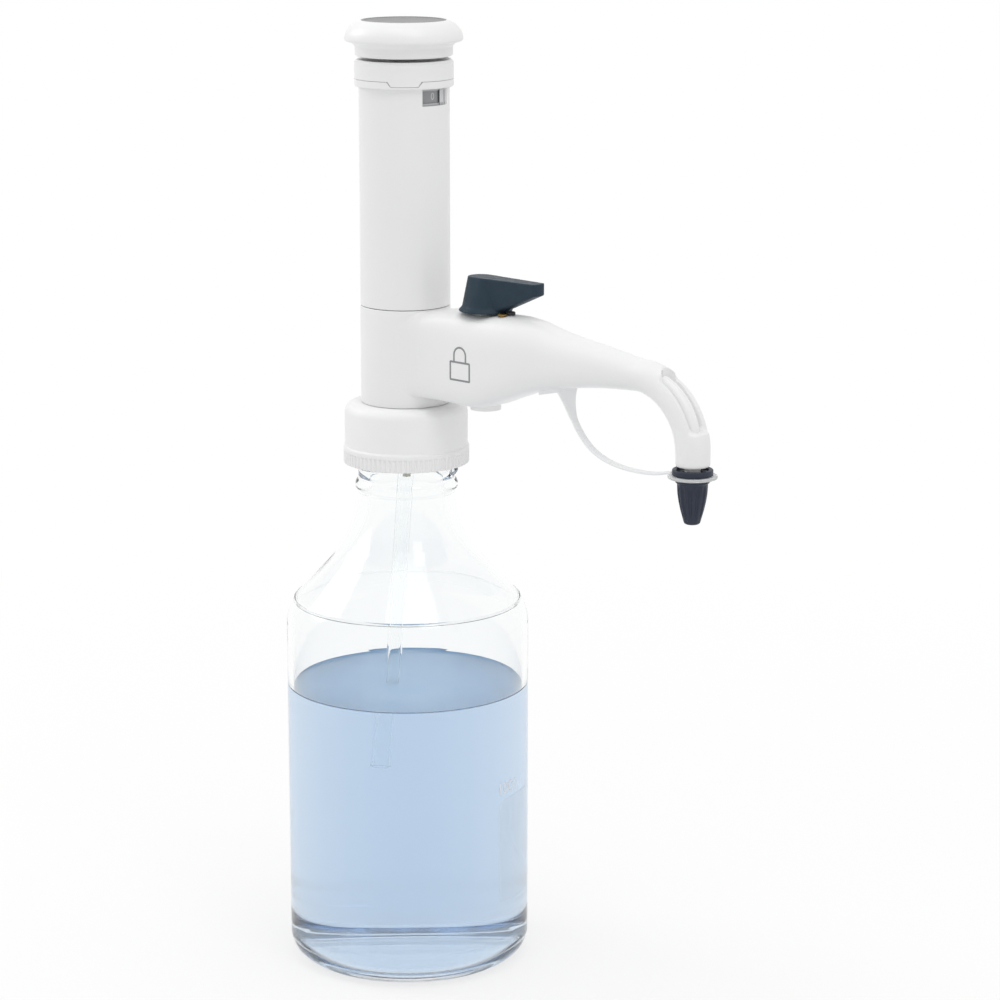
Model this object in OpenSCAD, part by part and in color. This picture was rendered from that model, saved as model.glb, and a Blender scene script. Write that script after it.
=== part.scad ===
// Bottle top dispenser, standing on its reagent bottle, in millimetres.
// The bottle stands on Z = 0 with its axis on Z, and the spout points along +X.
// From the bottle's rim upwards, each height is worked out from the piece below it.

/* [Bottle] */
// Outside diameter of the bottle
bottle_d = 101; // [92:0.5:110]
// Height of the bottle's rim
bottle_h = 230; // [215:1:260]
// Thickness of the bottle's wall
bottle_wall = 2.4; // [1.6:0.1:3.2]
// Thickness of the bottle's floor
bottle_floor = 4; // [3:0.1:6]
// Radius of the corner between the wall and the base
base_corner_r = 10; // [6:0.5:14]
// Radius of the corner between the wall and the floor, inside
inner_corner_r = 13; // [9:0.5:14]
// Diameter of the hollow under the base
punt_d = 74; // [60:1:78]
// Depth of the hollow under the base
punt_h = 2.6; // [1:0.1:3]
// Radius of the shoulder's round
shoulder_r = 18; // [12:0.5:22]
// Half angle of the cone between the shoulder and the neck
cone_angle = 43; // [38:1:50]
// Radius of the hollow curve between the cone and the neck
neck_fillet_r = 42; // [30:1:46]
// Outside diameter of the neck between its rings
neck_d = 40; // [39:0.2:42]
// Diameter of the neck's bore
neck_bore_d = 30.4; // [30:0.2:31.6]
// Outside diameter of the neck's thread and of the ring under it
thread_d = 44.8; // [43.6:0.1:45]
// Height of the plain neck from its base to the rim
neck_h = 29; // [27:0.5:34]

/* [Screw collar] */
// Height of the screw collar
collar_h = 25.2; // [22:0.2:27]
// Thickness of the collar's smooth wall
collar_wall = 2.6; // [1.8:0.1:4]
// Thickness of the collar's top
collar_top_t = 4.3; // [3:0.1:5]
// Radius of the collar's upper edge
collar_edge_r = 4; // [2:0.5:4]
// Height of the grip band round the collar's foot
grip_h = 7; // [5:0.5:10]
// How far the grip band stands out of the wall
grip_out = 0.6; // [0.3:0.1:1]
// Number of teeth round the grip band
grip_teeth = 76; // [48:4:96]

/* [Neck adapter] */
// Thickness of the gasket on the rim
gasket_t = 1.2; // [0.8:0.1:2]
// Thickness of the adapter's flange
adapter_flange_t = 2.8; // [2:0.1:4]
// How far the adapter reaches down into the neck
adapter_reach = 9; // [6:0.5:10]
// Diameter of the turning foot of the valve block
foot_d = 19.8; // [18:0.2:21]

/* [Head] */
// Diameter of the head's round column
head_d = 37; // [36:0.2:40]
// Height of the head's column
head_h = 40; // [39:0.5:44]
// Thickness of the head's wall
head_wall = 1.5; // [1.2:0.1:1.8]
// Distance from the axis to the lever's axis
lever_x = 45; // [43:0.5:48]
// Distance from the axis to the nozzle's axis
nozzle_x = 153; // [146:1:160]
// Height of the spout's highest middle point over the column's foot
spout_rise = 26.7; // [25:0.1:28]
// Radius of the spout's bend, measured on its middle line
bend_r = 27; // [24:0.5:29]
// Radius of the hollow round where the arm runs out of the column
arm_root_r = 13.4; // [8:0.2:15]
// Diameter of the nozzle
nozzle_d = 13.4; // [13:0.1:14.4]
// How far the nozzle's end lies below the column's foot
nozzle_drop = 6.1; // [5:0.1:9]
// Height of the outlet duct over the column's foot
duct_rise = 19.3; // [18:0.1:21]

/* [Liquid path] */
// Inside diameter of the glass cylinder
cylinder_bore_d = 16; // [14:0.1:17]
// Wall of the glass cylinder
cylinder_wall = 2; // [1.5:0.1:2.2]
// Travel of the piston at full volume
stroke = 50; // [40:1:52]
// Outside diameter of the discharge tube
discharge_tube_d = 6.2; // [5:0.1:6.6]
// Inside diameter of the discharge tube
discharge_tube_bore = 3.6; // [2.5:0.1:4]
// Radius of the discharge tube's bend, measured on its middle line
tube_bend_r = 22; // [21:0.5:24]
// Outside diameter of the feed tube
feed_tube_d = 6.4; // [5.6:0.1:7]
// Inside diameter of the feed tube
feed_tube_bore = 4.6; // [4.4:0.1:5]
// Length of the feed tube
feed_tube_len = 129; // [90:1:150]
// Angle at which the feed tube leans
feed_lean = 3.9; // [0:0.1:4.4]
// Direction in which the feed tube leans, from the spout's direction
feed_lean_dir = 222.8; // [0:0.1:360]
// Diameter of the two valve balls
ball_d = 4.8; // [4:0.1:5]

/* [Plunger] */
// Length of the outer sleeve
sleeve_len = 89; // [86:0.5:96]
// Wall of the outer sleeve
sleeve_wall = 1.2; // [1:0.1:1.4]
// Diameter of the piston rod below the drive plate
rod_d = 7; // [6:0.1:8]
// Diameter of the knob's axle, the thin upper end of the rod
axle_d = 5.6; // [5:0.1:6]
// Outside diameter of the clip ring and the head ring
ring_d = 40.2; // [39:0.2:43]
// Height of the clip ring
clip_ring_h = 3; // [2:0.1:4]
// Height of the head ring
head_ring_h = 7.7; // [7:0.1:9]
// Width of the clip tab
tab_w = 10.8; // [8:0.2:16]
// How far the clip tab reaches down into the clip ring
tab_drop = 1.9; // [1:0.1:2]
// Width of the reading window
window_w = 14.6; // [10:0.2:16]
// Height of the reading window
window_h = 6.4; // [5.6:0.1:7.4]

/* [Knob] */
// Diameter of the knob's brim
knob_d = 48; // [44:0.5:52]
// Diameter of the knob's skirt
knob_skirt_d = 39.6; // [38:0.2:41]
// Height of the knob from the skirt's edge to the rim round its disc
knob_h = 14.4; // [12:0.2:17]
// Height of the knob's brim over the skirt's edge
brim_rise = 6.5; // [4:0.1:7]
// Diameter of the disc let into the knob's top
disc_d = 34.4; // [30:0.2:36]
// Thickness of the disc
disc_t = 1.6; // [1:0.1:2.4]
// Gap between the head ring and the knob's skirt
knob_gap = 1.3; // [0.8:0.1:2]

/* [Volume setting] */
// Module of the two setting gears
gear_module = 0.6; // [0.58:0.005:0.61]
// Teeth of the gear on the knob's hub
hub_teeth = 30;
// Teeth of the pinion on the lead screw
pinion_teeth = 12;
// Width of the gears
gear_t = 3.4; // [2.5:0.1:3.6]
// Diameter of the lead screw
screw_d = 3.2; // [2.8:0.1:3.4]
// Height of the stop nut
nut_h = 6; // [4:0.2:7]

/* [Lever] */
// Diameter of the lever's skirt
skirt_d = 21.5; // [19:0.5:22]
// Height of the lever over the arm
lever_h = 14; // [12:0.2:17]
// Reach of the lever's finger from its axis
lever_reach = 28.8; // [26:0.2:36]
// Diameter of the stopcock's spindle
spindle_d = 10; // [9:0.1:10.6]

/* [Discharge cap] */
// Diameter of the cap's flange
cap_flange_d = 15.8; // [15:0.1:17]
// Diameter of the cap's body under the flange
cap_d = 11.8; // [11.2:0.1:12.6]
// Diameter of the cap's tip
cap_tip_d = 6.4; // [5.6:0.1:7]
// Height of the cap
cap_h = 21.6; // [19:0.2:24]
// Number of ribs round the cap
cap_ribs = 12; // [8:1:16]
// Width of the strap where it leaves the arm
strap_root_w = 12; // [9:0.5:13]
// Width of the strap along its thin length
strap_w = 3.3; // [2.5:0.1:4]
// Thickness of the strap
strap_t = 1.1; // [0.8:0.1:1.4]

/* [Hidden] */
$fn = 96;

// Clearances
eps = 0.01;          // overrun of a cutting tool
run_gap = 0.05;      // radial clearance of a turning or sliding fit
seat_gap = 0.02;     // radial clearance between two pieces of one body
free_gap = 0.3;      // clearance between neighbours that only pass each other

// Stack of heights, from the base to the knob
rim_z = bottle_h;
neck_base_z = rim_z - neck_h;
adapter_z = rim_z + gasket_t;
collar_top_z = adapter_z + adapter_flange_t + run_gap + collar_top_t;
collar_base_z = collar_top_z - collar_h;
head_z = collar_top_z + free_gap;
head_top_z = head_z + head_h;
sleeve_z = head_top_z + free_gap;
sleeve_top_z = sleeve_z + sleeve_len;
clip_top_z = sleeve_top_z + clip_ring_h;
head_ring_top_z = clip_top_z + head_ring_h;
knob_z = head_ring_top_z + knob_gap;
knob_top_z = knob_z + knob_h;

// Radii that several pieces share
thread_r = thread_d/2;
collar_bore_r = thread_r + 0.4;
foot_r = foot_d/2;
head_r = head_d/2;
sleeve_r = head_r - 0.1;
sleeve_bore_r = sleeve_r - sleeve_wall;
guard_r = sleeve_bore_r - free_gap;
guard_wall = 1.2;
ring_r = ring_d/2;
cylinder_r = cylinder_bore_d/2 + cylinder_wall;
axle_r = axle_d/2;
duct_r = 2.4;

// Valve block
block_r = 12.4;
block_floor_z = head_top_z - 10.7;
flange_t = 5;
flange_top_z = block_floor_z + 4.6;
socket_top_z = flange_top_z + 5.2;
foot_drop = 20.2;
foot_z = head_z - foot_drop;
clip_t = 1.4;
clip_groove = 1;
clip_top_gap = adapter_z - adapter_reach - 0.3;
boss_r = 6.5;
duct_z = head_z + duct_rise;

// Intake valve, screwed into the foot
intake_r = 6;
intake_h = 17.5;
intake_head_h = 4.6;
intake_z = foot_z - intake_head_h;
nipple_r = 1.7;
nipple_h = 7;
feed_top_z = intake_z - 0.4;

// Plunger
seal_h = 6;
piston_h = 14;
piston_z = block_floor_z + 1.5;
plate_t = 2.5;
stop_ring_t = 3;
glass_top_z = piston_z + seal_h + stroke + 8;
stop_ring_z = max(glass_top_z + 2, sleeve_top_z - 19);
plate_z = stop_ring_z + stop_ring_t + 1;
gear_z = plate_z + plate_t + 0.5;
drum_z = sleeve_top_z - window_h - 0.2;
drum_t = 1.2;
drum_r = sleeve_bore_r - 0.6;

// Setting gears and the lead screw, which stands beside the glass cylinder
hub_pitch_r = gear_module*hub_teeth/2;
pinion_pitch_r = gear_module*pinion_teeth/2;
screw_x = -(hub_pitch_r + pinion_pitch_r);
screw_r = screw_d/2;
hub_r = axle_r + run_gap + 2.2;
pressure_angle = 20;
backlash = 0.12;

// Stopcock and outlet valve
cock_w = 16;
cock_d = 15;
cock_h = 30;
cock_z = head_z + 8.3;
plug_d = 12.4;
outlet_valve_r = 6.2;
outlet_valve_len = 15;
outlet_valve_x = lever_x + cock_w/2;
tube_x = outlet_valve_x + outlet_valve_len + 0.5;

// Arm: distance along X, top, bottom, half width and squareness of its section,
// with heights over the column's foot
arm_sections = [
    [0, 39.8, 4.3, 12.3, 5],
    [19, 39.85, 4.3, 12.3, 5],
    [30, 41.2, 4.3, 12.4, 4.6],
    [lever_x + 3, 41.6, 4, 12.4, 3.8],
    [lever_x + 18, 42.2, 9, 11.9, 3.1],
    [lever_x + 29, 41.4, 13, 10.8, 2.8],
    [lever_x + 39, 39.3, 15.6, 9.5, 2.6],
    [lever_x + 51, 37.4, 17.7, 8.3, 2.4],
    [nozzle_x - 43, 35.6, 19.4, 7.1, 2.3],
    [nozzle_x - bend_r, spout_rise + 6.6, spout_rise - 6.1, 6.3, 2.1]
];
arm_steps = 3;           // rings worked out between two sections
root_sections = 2;       // sections that the rings of the root pass through
arm_sides = 28;          // points round one ring
bend_steps = 9;
throat_r = 5.9;          // the arm's half depth where the bend starts
bend_fat_r = 7;          // and half way round it
nozzle_r = nozzle_d/2;
nozzle_z = head_z - nozzle_drop;
bend_x = nozzle_x - bend_r;
bend_z = head_z + spout_rise - bend_r;
lever_z = head_z + 42.1;

// The root's hollow rounds touch the column and the arm's flanks. root_reach is the distance of
// their centres from the axis and root_lean the angle at which they stand off the arm's way.
root_half_w = arm_sections[1][3];
root_reach = head_r + arm_root_r;
root_lean = asin((arm_root_r + root_half_w)/root_reach);
root_end = norm([root_reach*cos(root_lean), root_half_w]);

// The discharge tube's straight run touches the circle of its bend at this angle
tube_bend_x = nozzle_x - tube_bend_r;
tube_bend_z = bend_z + bend_r - tube_bend_r;
tube_dx = tube_bend_x - tube_x;
tube_dz = duct_z - tube_bend_z;
tube_rise = asin(tube_bend_r/norm([tube_dx, tube_dz])) - atan2(tube_dz, tube_dx);
tube_r = discharge_tube_d/2;
tip_z = nozzle_z - 6;
tube_sides = 16;
tube_steps = 9;
slot_w = 7.8;
slot_from = 60;          // angles over the horizontal between which the slot is open
slot_to = 22.5;

// Cap, strap and the ring that joins them
cap_flange_t = 2.4;
cap_top_z = nozzle_z - free_gap;
cap_bore_r = tube_r + free_gap + 0.6;
cap_tip_t = 2.2;
strap_ring_r = 9.6;
strap_ring_z = cap_top_z - cap_flange_t - strap_t - 0.05;
strap_path = [
    [lever_x + 45.4, head_z + 15.6], [lever_x + 46.2, head_z + 11.6], [lever_x + 48.2, head_z + 5],
    [lever_x + 52.4, head_z - 1.6], [lever_x + 58, head_z - 6.6], [lever_x + 66, head_z - 9.8],
    [lever_x + 76, head_z - 11.3], [lever_x + 88, head_z - 11.2], [nozzle_x - 10.6, strap_ring_z + strap_t/2],
    [nozzle_x - 8.4, strap_ring_z + strap_t/2]
];

// Points of an arc about [x, z], from angle a to angle b
function arc(x, z, r, a, b, steps=8) =
    [for (k = [0:steps]) let (t = a + (b - a)*k/steps) [x + r*cos(t), z + r*sin(t)]];

// A ring section along the axis, turned into a solid of revolution
module revolve(points) rotate_extrude() polygon(points);

// A plain tube standing on z
module tube(r, bore_r, h, z) {
    translate([0, 0, z]) difference() {
        cylinder(r=r, h=h);
        translate([0, 0, -eps]) cylinder(r=bore_r, h=h + 2*eps);
    }
}

// A closed skin over rings of points that each run round the way they travel
module skin(rings) {
    n = len(rings[0]);
    m = len(rings);
    side = [for (i = [0:m-2], k = [0:n-1]) let (a = i*n + k, b = i*n + (k + 1)%n) [a, a + n, b + n, b]];
    split = [for (q = side) each [[q[0], q[1], q[2]], [q[0], q[2], q[3]]]];
    ends = [[for (k = [0:n-1]) k], [for (k = [n-1:-1:0]) (m - 1)*n + k]];
    polyhedron(points=[for (r = rings) each r], faces=concat(split, ends), convexity=6);
}

// ---------------------------------------------------------------- bottle

// Half outline of the bottle's side from its wall up to the neck. z_line is the height at
// which the cone's line would meet the axis.
function side_line(body_r, round_r, fillet_r, neck_r, z_line) =
    let (
        a = cone_angle,
        fillet_x = neck_r + fillet_r,
        fillet_z = z_line - (fillet_x - fillet_r*cos(a))/tan(a) + fillet_r*sin(a),
        round_x = body_r - round_r,
        round_z = z_line - (round_x + round_r*cos(a))/tan(a) - round_r*sin(a)
    )
    concat(arc(round_x, round_z, round_r, 0, a, 7), arc(fillet_x, fillet_z, fillet_r, 180 + a, 180, 8));

module bottle() {
    body_r = bottle_d/2;
    neck_r = neck_d/2;
    bore_r = neck_bore_d/2;
    fillet_top = neck_r + neck_fillet_r*(1 - cos(cone_angle));
    z_line = neck_base_z - neck_fillet_r*sin(cone_angle) + fillet_top/tan(cone_angle);
    inner_line = z_line - bottle_wall/sin(cone_angle);
    corner_x = body_r - bottle_wall - inner_corner_r;
    floor_z = max(bottle_floor, punt_h + 1.5);
    lip = 1.4;
    thread_w = 2;
    color("lightcyan", 0.5) difference() {
        union() {
            revolve(concat(
                [[0, punt_h], [punt_d/2 - 8, punt_h], [punt_d/2, 0]],
                arc(body_r - base_corner_r, base_corner_r, base_corner_r, -90, 0, 8),
                side_line(body_r, shoulder_r, neck_fillet_r, neck_r, z_line),
                arc(neck_r + 0.6 - lip, rim_z - lip, lip, 0, 90, 4),
                [[0, rim_z]]
            ));
            // the ring under the collar, then the thread's turns
            for (z = [neck_base_z + 2.3, neck_base_z + 8.2, neck_base_z + 14, neck_base_z + 19.8])
                revolve([
                    [neck_r - 1, z - thread_w], [neck_r, z - thread_w], [thread_r, z - 0.6],
                    [thread_r, z + 0.6], [neck_r, z + thread_w], [neck_r - 1, z + thread_w]
                ]);
        }
        revolve(concat(
            [[0, floor_z + 1.2], [min(punt_d/2 - 10, corner_x - 1), floor_z + 0.9]],
            arc(corner_x, floor_z + inner_corner_r, inner_corner_r, -90, 0, 8),
            side_line(body_r - bottle_wall, shoulder_r - bottle_wall, neck_fillet_r, bore_r, inner_line),
            [[bore_r, rim_z + eps], [0, rim_z + eps]]
        ));
    }
}

// ---------------------------------------------------------------- neck

module rim_gasket() {
    color("gainsboro") tube(neck_d/2 - 0.6, neck_bore_d/2 + seat_gap, gasket_t, rim_z);
}

module neck_adapter() {
    flange_r = collar_bore_r - 0.5;
    spigot_r = neck_bore_d/2 - free_gap;
    color("whitesmoke") difference() {
        union() {
            translate([0, 0, adapter_z]) cylinder(r=flange_r, h=adapter_flange_t);
            translate([0, 0, adapter_z - adapter_reach]) cylinder(r1=spigot_r - 0.8, r2=spigot_r, h=3);
            translate([0, 0, adapter_z - adapter_reach + 3]) cylinder(r=spigot_r, h=adapter_reach - 3);
        }
        translate([0, 0, adapter_z - adapter_reach - eps])
            cylinder(r=foot_r + run_gap, h=adapter_reach + adapter_flange_t + 2*eps);
        // a keyway that lets air into the bottle
        translate([foot_r, -1.2, adapter_z - adapter_reach - eps])
            cube([1.4, 2.4, adapter_reach + 2]);
    }
}

module screw_collar() {
    wall_r = collar_bore_r + collar_wall;
    band_r = wall_r + grip_out;
    tooth = 360/grip_teeth;
    band_top_z = collar_base_z + grip_h;
    root_r = wall_r + 0.1;
    tip_r = band_r - 0.05;
    color("white") difference() {
        union() {
            revolve(concat(
                [[0, band_top_z - 1], [wall_r, band_top_z - 1]],
                arc(wall_r - collar_edge_r, collar_top_z - collar_edge_r, collar_edge_r, 0, 90, 8),
                [[0, collar_top_z]]
            ));
            // the band, plain above and toothed below
            translate([0, 0, collar_base_z + grip_h*0.7]) cylinder(r=band_r, h=grip_h*0.3);
            translate([0, 0, collar_base_z]) linear_extrude(grip_h*0.7) polygon([
                for (k = [0:grip_teeth-1]) each [
                    root_r*[cos(k*tooth), sin(k*tooth)],
                    root_r*[cos((k + 0.3)*tooth), sin((k + 0.3)*tooth)],
                    tip_r*[cos((k + 0.5)*tooth), sin((k + 0.5)*tooth)],
                    tip_r*[cos((k + 0.8)*tooth), sin((k + 0.8)*tooth)]
                ]
            ]);
        }
        translate([0, 0, collar_base_z - eps])
            cylinder(r=collar_bore_r, h=collar_h - collar_top_t + eps);
        translate([0, 0, collar_top_z - collar_top_t - 1])
            cylinder(r=foot_r + 2, h=collar_top_t + 2);
    }
}

// ---------------------------------------------------------------- head

// One ring about [x, z] in the arm's middle plane, across a direction of travel given by its slope
function arm_ring(x, z, slope, depth, width, square, sides=arm_sides) = [
    for (k = [0:sides-1])
        let (
            c = cos(360*k/sides),
            s = sin(360*k/sides),
            across = width*sign(c)*pow(abs(c), 2/square),
            up = depth*sign(s)*pow(abs(s), 2/square)
        )
        [x - up*sin(slope), across, z + up*cos(slope)]
];

// A smooth curve through four numbers or points, between the middle two
function smooth(a, b, c, d, t) =
    (2*b + (c - a)*t + (2*a - 5*b + 4*c - d)*t*t + (3*b - a - 3*c + d)*t*t*t)/2;

arm_last = len(arm_sections) - 1;
arm_curve = [
    for (i = [root_sections:arm_last-1], k = [0:arm_steps-1])
        smooth(arm_sections[i - 1], arm_sections[i], arm_sections[i + 1],
               arm_sections[min(i + 2, arm_last)], k/arm_steps),
    arm_sections[arm_last]
];

// Half width of the arm's root at a distance r from the axis
function root_half(r) = r < root_end
    ? r*sin(root_lean - acos(min(1, (r*r + root_reach*root_reach - arm_root_r*arm_root_r)/(2*r*root_reach))))
    : root_half_w;

// A value of the arm's sections, read off at a distance along X
function arm_value(x, k) = lookup(x, [for (s = arm_sections) [s[0], s[k]]]);

// A ring of the root, wrapped round the axis at a distance r, or straight across where bend is 0
function root_ring(r, bend) =
    let (top = arm_value(r, 1), low = arm_value(r, 2))
    [for (p = arm_ring(0, head_z + (top + low)/2, 0, (top - low)/2, root_half(r), arm_value(r, 4)))
        [r + bend*(sqrt(r*r - p[1]*p[1]) - r), p[1], p[2]]];

// Half depth of the arm at a share f of the bend: full half way, then down to the nozzle
function bend_depth(f) =
    f < 0.5 ? throat_r + (bend_fat_r - throat_r)*sin(180*f)
            : bend_fat_r + (nozzle_r - bend_fat_r)*(2*f - 1);

arm_rings = concat(
    [root_ring(head_r - 4, 0.9)],
    [for (d = [-0.5, 0.5, 1.3, 2.4]) root_ring(head_r + d, 1)],
    [root_ring(root_end, 1), root_ring(root_end + 3, 0.5)],
    [for (s = arm_curve) arm_ring(s[0], head_z + (s[1] + s[2])/2, 0, (s[1] - s[2])/2, s[3], s[4])],
    [for (k = [1:bend_steps]) let (f = k/bend_steps)
        arm_ring(bend_x + bend_r*sin(90*f), bend_z + bend_r*cos(90*f), -90*f,
                 bend_depth(f), 6.3 + (nozzle_r - 6.3)*min(1, 2*f), 2.05)],
    [arm_ring(nozzle_x, nozzle_z, -90, nozzle_r, nozzle_r, 2.05)]
);

// The discharge tube's route as a rod of radius r: straight run, bend and drop. It is drawn
// longer at both ends by extra.
module tube_route(r, extra=0) {
    swing = 90 + tube_rise;
    skin(concat(
        [arm_ring(tube_x - extra*cos(tube_rise), duct_z - extra*sin(tube_rise), tube_rise, r, r, 2, tube_sides)],
        [for (k = [0:tube_steps]) let (a = swing*(1 - k/tube_steps))
            arm_ring(tube_bend_x + tube_bend_r*cos(a), tube_bend_z + tube_bend_r*sin(a), a - 90, r, r, 2,
                     tube_sides)],
        [arm_ring(nozzle_x, tip_z - extra, -90, r, r, 2, tube_sides)]
    ));
}

// The open slot round the outside of the bend, with round ends
module bend_slot() {
    half = slot_w/2;
    end_angle = half/(bend_r + bend_fat_r)*180/PI;
    stations = concat(
        [for (t = [-90:18:0]) [slot_to + end_angle*sin(t), half*max(0.1, cos(t))]],
        [for (t = [0:18:90]) [slot_from + end_angle*sin(t), half*max(0.1, cos(t))]]
    );
    skin([for (s = stations) [
        for (q = [[bend_r, -s[1]], [bend_r + 15, -s[1]], [bend_r + 15, s[1]], [bend_r, s[1]]])
            [bend_x + q[0]*cos(s[0]), q[1], bend_z + q[0]*sin(s[0])]
    ]]);
}

module head_housing() {
    bore_r = head_r - head_wall;
    floor_t = 2.4;
    color("white") difference() {
        union() {
            translate([0, 0, head_z]) cylinder(r=head_r, h=head_h);
            skin(arm_rings);
        }
        // the column's bore, with its foot's opening
        translate([0, 0, head_z + floor_t]) cylinder(r=bore_r, h=head_h);
        translate([0, 0, head_z - 1]) cylinder(r=block_r + seat_gap, h=floor_t + 2);
        // room for the outlet boss, the stopcock, its plug and its spindle
        translate([0, 0, duct_z]) rotate([0, 90, 0]) cylinder(r=boss_r + seat_gap, h=lever_x);
        translate([lever_x - cock_w/2 - seat_gap, -cock_d/2 - seat_gap, cock_z])
            cube([cock_w + 2*seat_gap, cock_d + 2*seat_gap, cock_h]);
        translate([lever_x, 0, head_z]) cylinder(r=plug_d/2 + seat_gap, h=cock_z - head_z + 1);
        translate([lever_x, 0, head_z + 30]) cylinder(r=spindle_d/2 + run_gap, h=30);
        // room for the outlet valve and the tube
        translate([outlet_valve_x - 1, 0, duct_z]) rotate([0, 90, 0])
            cylinder(r=outlet_valve_r + seat_gap, h=outlet_valve_len + 1);
        tube_route(tube_r + seat_gap, 1);
        bend_slot();
        // the sleeve passes over the column's top
        translate([0, 0, head_top_z]) cylinder(r=head_r + free_gap, h=10);
        // seat of the strap's anchor and of the catch screw
        anchor_place() translate([0, 0, anchor_rise + seat_gap - 3])
            cube([anchor_len + 2*seat_gap, anchor_w + 2*seat_gap, 6], center=true);
        translate([catch_x, catch_y, lever_z - 6]) cylinder(r=catch_shank_r + seat_gap, h=10);
    }
}

module valve_block() {
    bore_r = head_r - head_wall - seat_gap;
    color("ivory") difference() {
        union() {
            translate([0, 0, foot_z]) cylinder(r=foot_r, h=foot_drop + 1);
            translate([0, 0, head_z]) cylinder(r=block_r, h=block_floor_z - head_z);
            translate([0, 0, flange_top_z - flange_t]) cylinder(r=bore_r, h=flange_t);
            translate([0, 0, flange_top_z - 1]) cylinder(r=cylinder_r + 2, h=socket_top_z - flange_top_z + 1);
            translate([0, 0, duct_z]) rotate([0, 90, 0]) cylinder(r=boss_r, h=lever_x - cock_w/2);
        }
        // the glass cylinder's socket and the duct from the intake valve to the outlet
        translate([0, 0, block_floor_z]) cylinder(r=cylinder_r + seat_gap, h=30);
        translate([0, 0, foot_z]) cylinder(r=duct_r, h=block_floor_z - foot_z + 1);
        translate([0, 0, duct_z]) rotate([0, 90, 0]) cylinder(r=duct_r, h=lever_x);
        translate([0, 0, foot_z - 1]) cylinder(r=intake_r + seat_gap, h=intake_h + 1);
        // the clip's groove
        tube(foot_r + 1, foot_r - clip_groove, clip_t, clip_top_gap - clip_t);
    }
}

module swivel_clip() {
    mouth = 8;
    color("silver") difference() {
        tube(foot_r + 1.8, foot_r - clip_groove + seat_gap, clip_t - 2*seat_gap, clip_top_gap - clip_t + seat_gap);
        translate([-foot_r - 4, -mouth/2, clip_top_gap - clip_t - 1]) cube([6, mouth, clip_t + 2]);
    }
}

module intake_valve() {
    seat_z = foot_z + 5;
    ball_r = ball_d/2;
    color("ivory") difference() {
        union() {
            translate([0, 0, foot_z]) cylinder(r=intake_r, h=intake_h);
            translate([0, 0, intake_z]) cylinder(r=foot_r - 2, h=intake_head_h, $fn=6);
            translate([0, 0, intake_z - nipple_h]) cylinder(r=nipple_r, h=nipple_h + 1);
        }
        translate([0, 0, intake_z - nipple_h - 1]) cylinder(r=1, h=seat_z - intake_z + nipple_h + 1 + eps);
        translate([0, 0, seat_z]) cylinder(r1=1, r2=ball_r + 0.5, h=ball_r);
        translate([0, 0, seat_z + ball_r - eps]) cylinder(r=ball_r + 0.5, h=intake_h);
    }
}

// How far a ball's centre lies over the point where its seat's cone starts
function ball_rise(r) = let (slope = atan2(r - 0.5, r)) r/sin(slope) - 1/tan(slope) + 0.02;

module intake_ball() {
    color("white") translate([0, 0, foot_z + 5 + ball_rise(ball_d/2)]) sphere(d=ball_d, $fn=48);
}

module feed_tube() {
    color("white", 0.6) translate([0, 0, feed_top_z]) rotate([0, 0, feed_lean_dir]) rotate([0, -feed_lean, 0])
        tube(feed_tube_d/2, feed_tube_bore/2, feed_tube_len, -feed_tube_len);
}

module glass_cylinder() {
    color("lightcyan", 0.5) tube(cylinder_r, cylinder_bore_d/2, glass_top_z - block_floor_z, block_floor_z);
}

module guard_tube() {
    color("white") tube(guard_r, guard_r - guard_wall, stop_ring_z - flange_top_z, flange_top_z);
}

module stop_ring() {
    color("gainsboro") difference() {
        union() {
            tube(sleeve_bore_r - run_gap, cylinder_r - 1, stop_ring_t, stop_ring_z);
            tube(guard_r - guard_wall - seat_gap, guard_r - guard_wall - 1, 3, stop_ring_z - 3 + eps);
        }
        translate([screw_x, 0, stop_ring_z - 5]) cylinder(r=screw_r + free_gap, h=20);
        // room for the stop nut under the ring
        translate([0, 0, stop_ring_z - 5]) nut_sector(free_gap, 5);
    }
}

module stopcock_body() {
    color("ivory") difference() {
        translate([lever_x - cock_w/2, -cock_d/2, cock_z]) cube([cock_w, cock_d, cock_h - seat_gap]);
        translate([lever_x, 0, cock_z + 4]) cylinder(r=spindle_d/2 + run_gap, h=cock_h);
        translate([0, 0, duct_z]) rotate([0, 90, 0]) cylinder(r=duct_r, h=100);
        // drain duct back to the column
        translate([lever_x, 0, cock_z - 1]) cylinder(r=1.5, h=6);
    }
}

module discharge_valve() {
    ball_r = ball_d/2;
    color("ivory") translate([outlet_valve_x, 0, duct_z]) rotate([0, 90, 0]) difference() {
        cylinder(r=outlet_valve_r, h=outlet_valve_len - seat_gap);
        translate([0, 0, -1]) cylinder(r=1, h=outlet_valve_len + 2);
        translate([0, 0, 3]) cylinder(r1=1, r2=ball_r + 0.5, h=ball_r);
        translate([0, 0, 3 + ball_r - eps]) cylinder(r=ball_r + 0.5, h=6);
    }
}

module discharge_ball() {
    color("white") translate([outlet_valve_x + 3 + ball_rise(ball_d/2), 0, duct_z]) sphere(d=ball_d, $fn=48);
}

module discharge_tube() {
    color("white", 0.6) difference() {
        tube_route(tube_r);
        tube_route(discharge_tube_bore/2, 1);
    }
}

module valve_plug() {
    plug_z = head_z + 2.4;
    color("white") translate([lever_x, 0, plug_z]) difference() {
        cylinder(r=plug_d/2, h=cock_z - plug_z - seat_gap);
        translate([-4, -0.6, -1]) cube([8, 1.2, 1.8]);
    }
}

// The strap's anchor, a small plate let into the arm's underside
anchor_len = 13;
anchor_w = 8;
anchor_t = 2;
anchor_rise = 1;
module anchor_place()
    translate([lever_x + 38.5, 0, head_z + 15.3]) rotate([0, -13, 0]) children();

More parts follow.
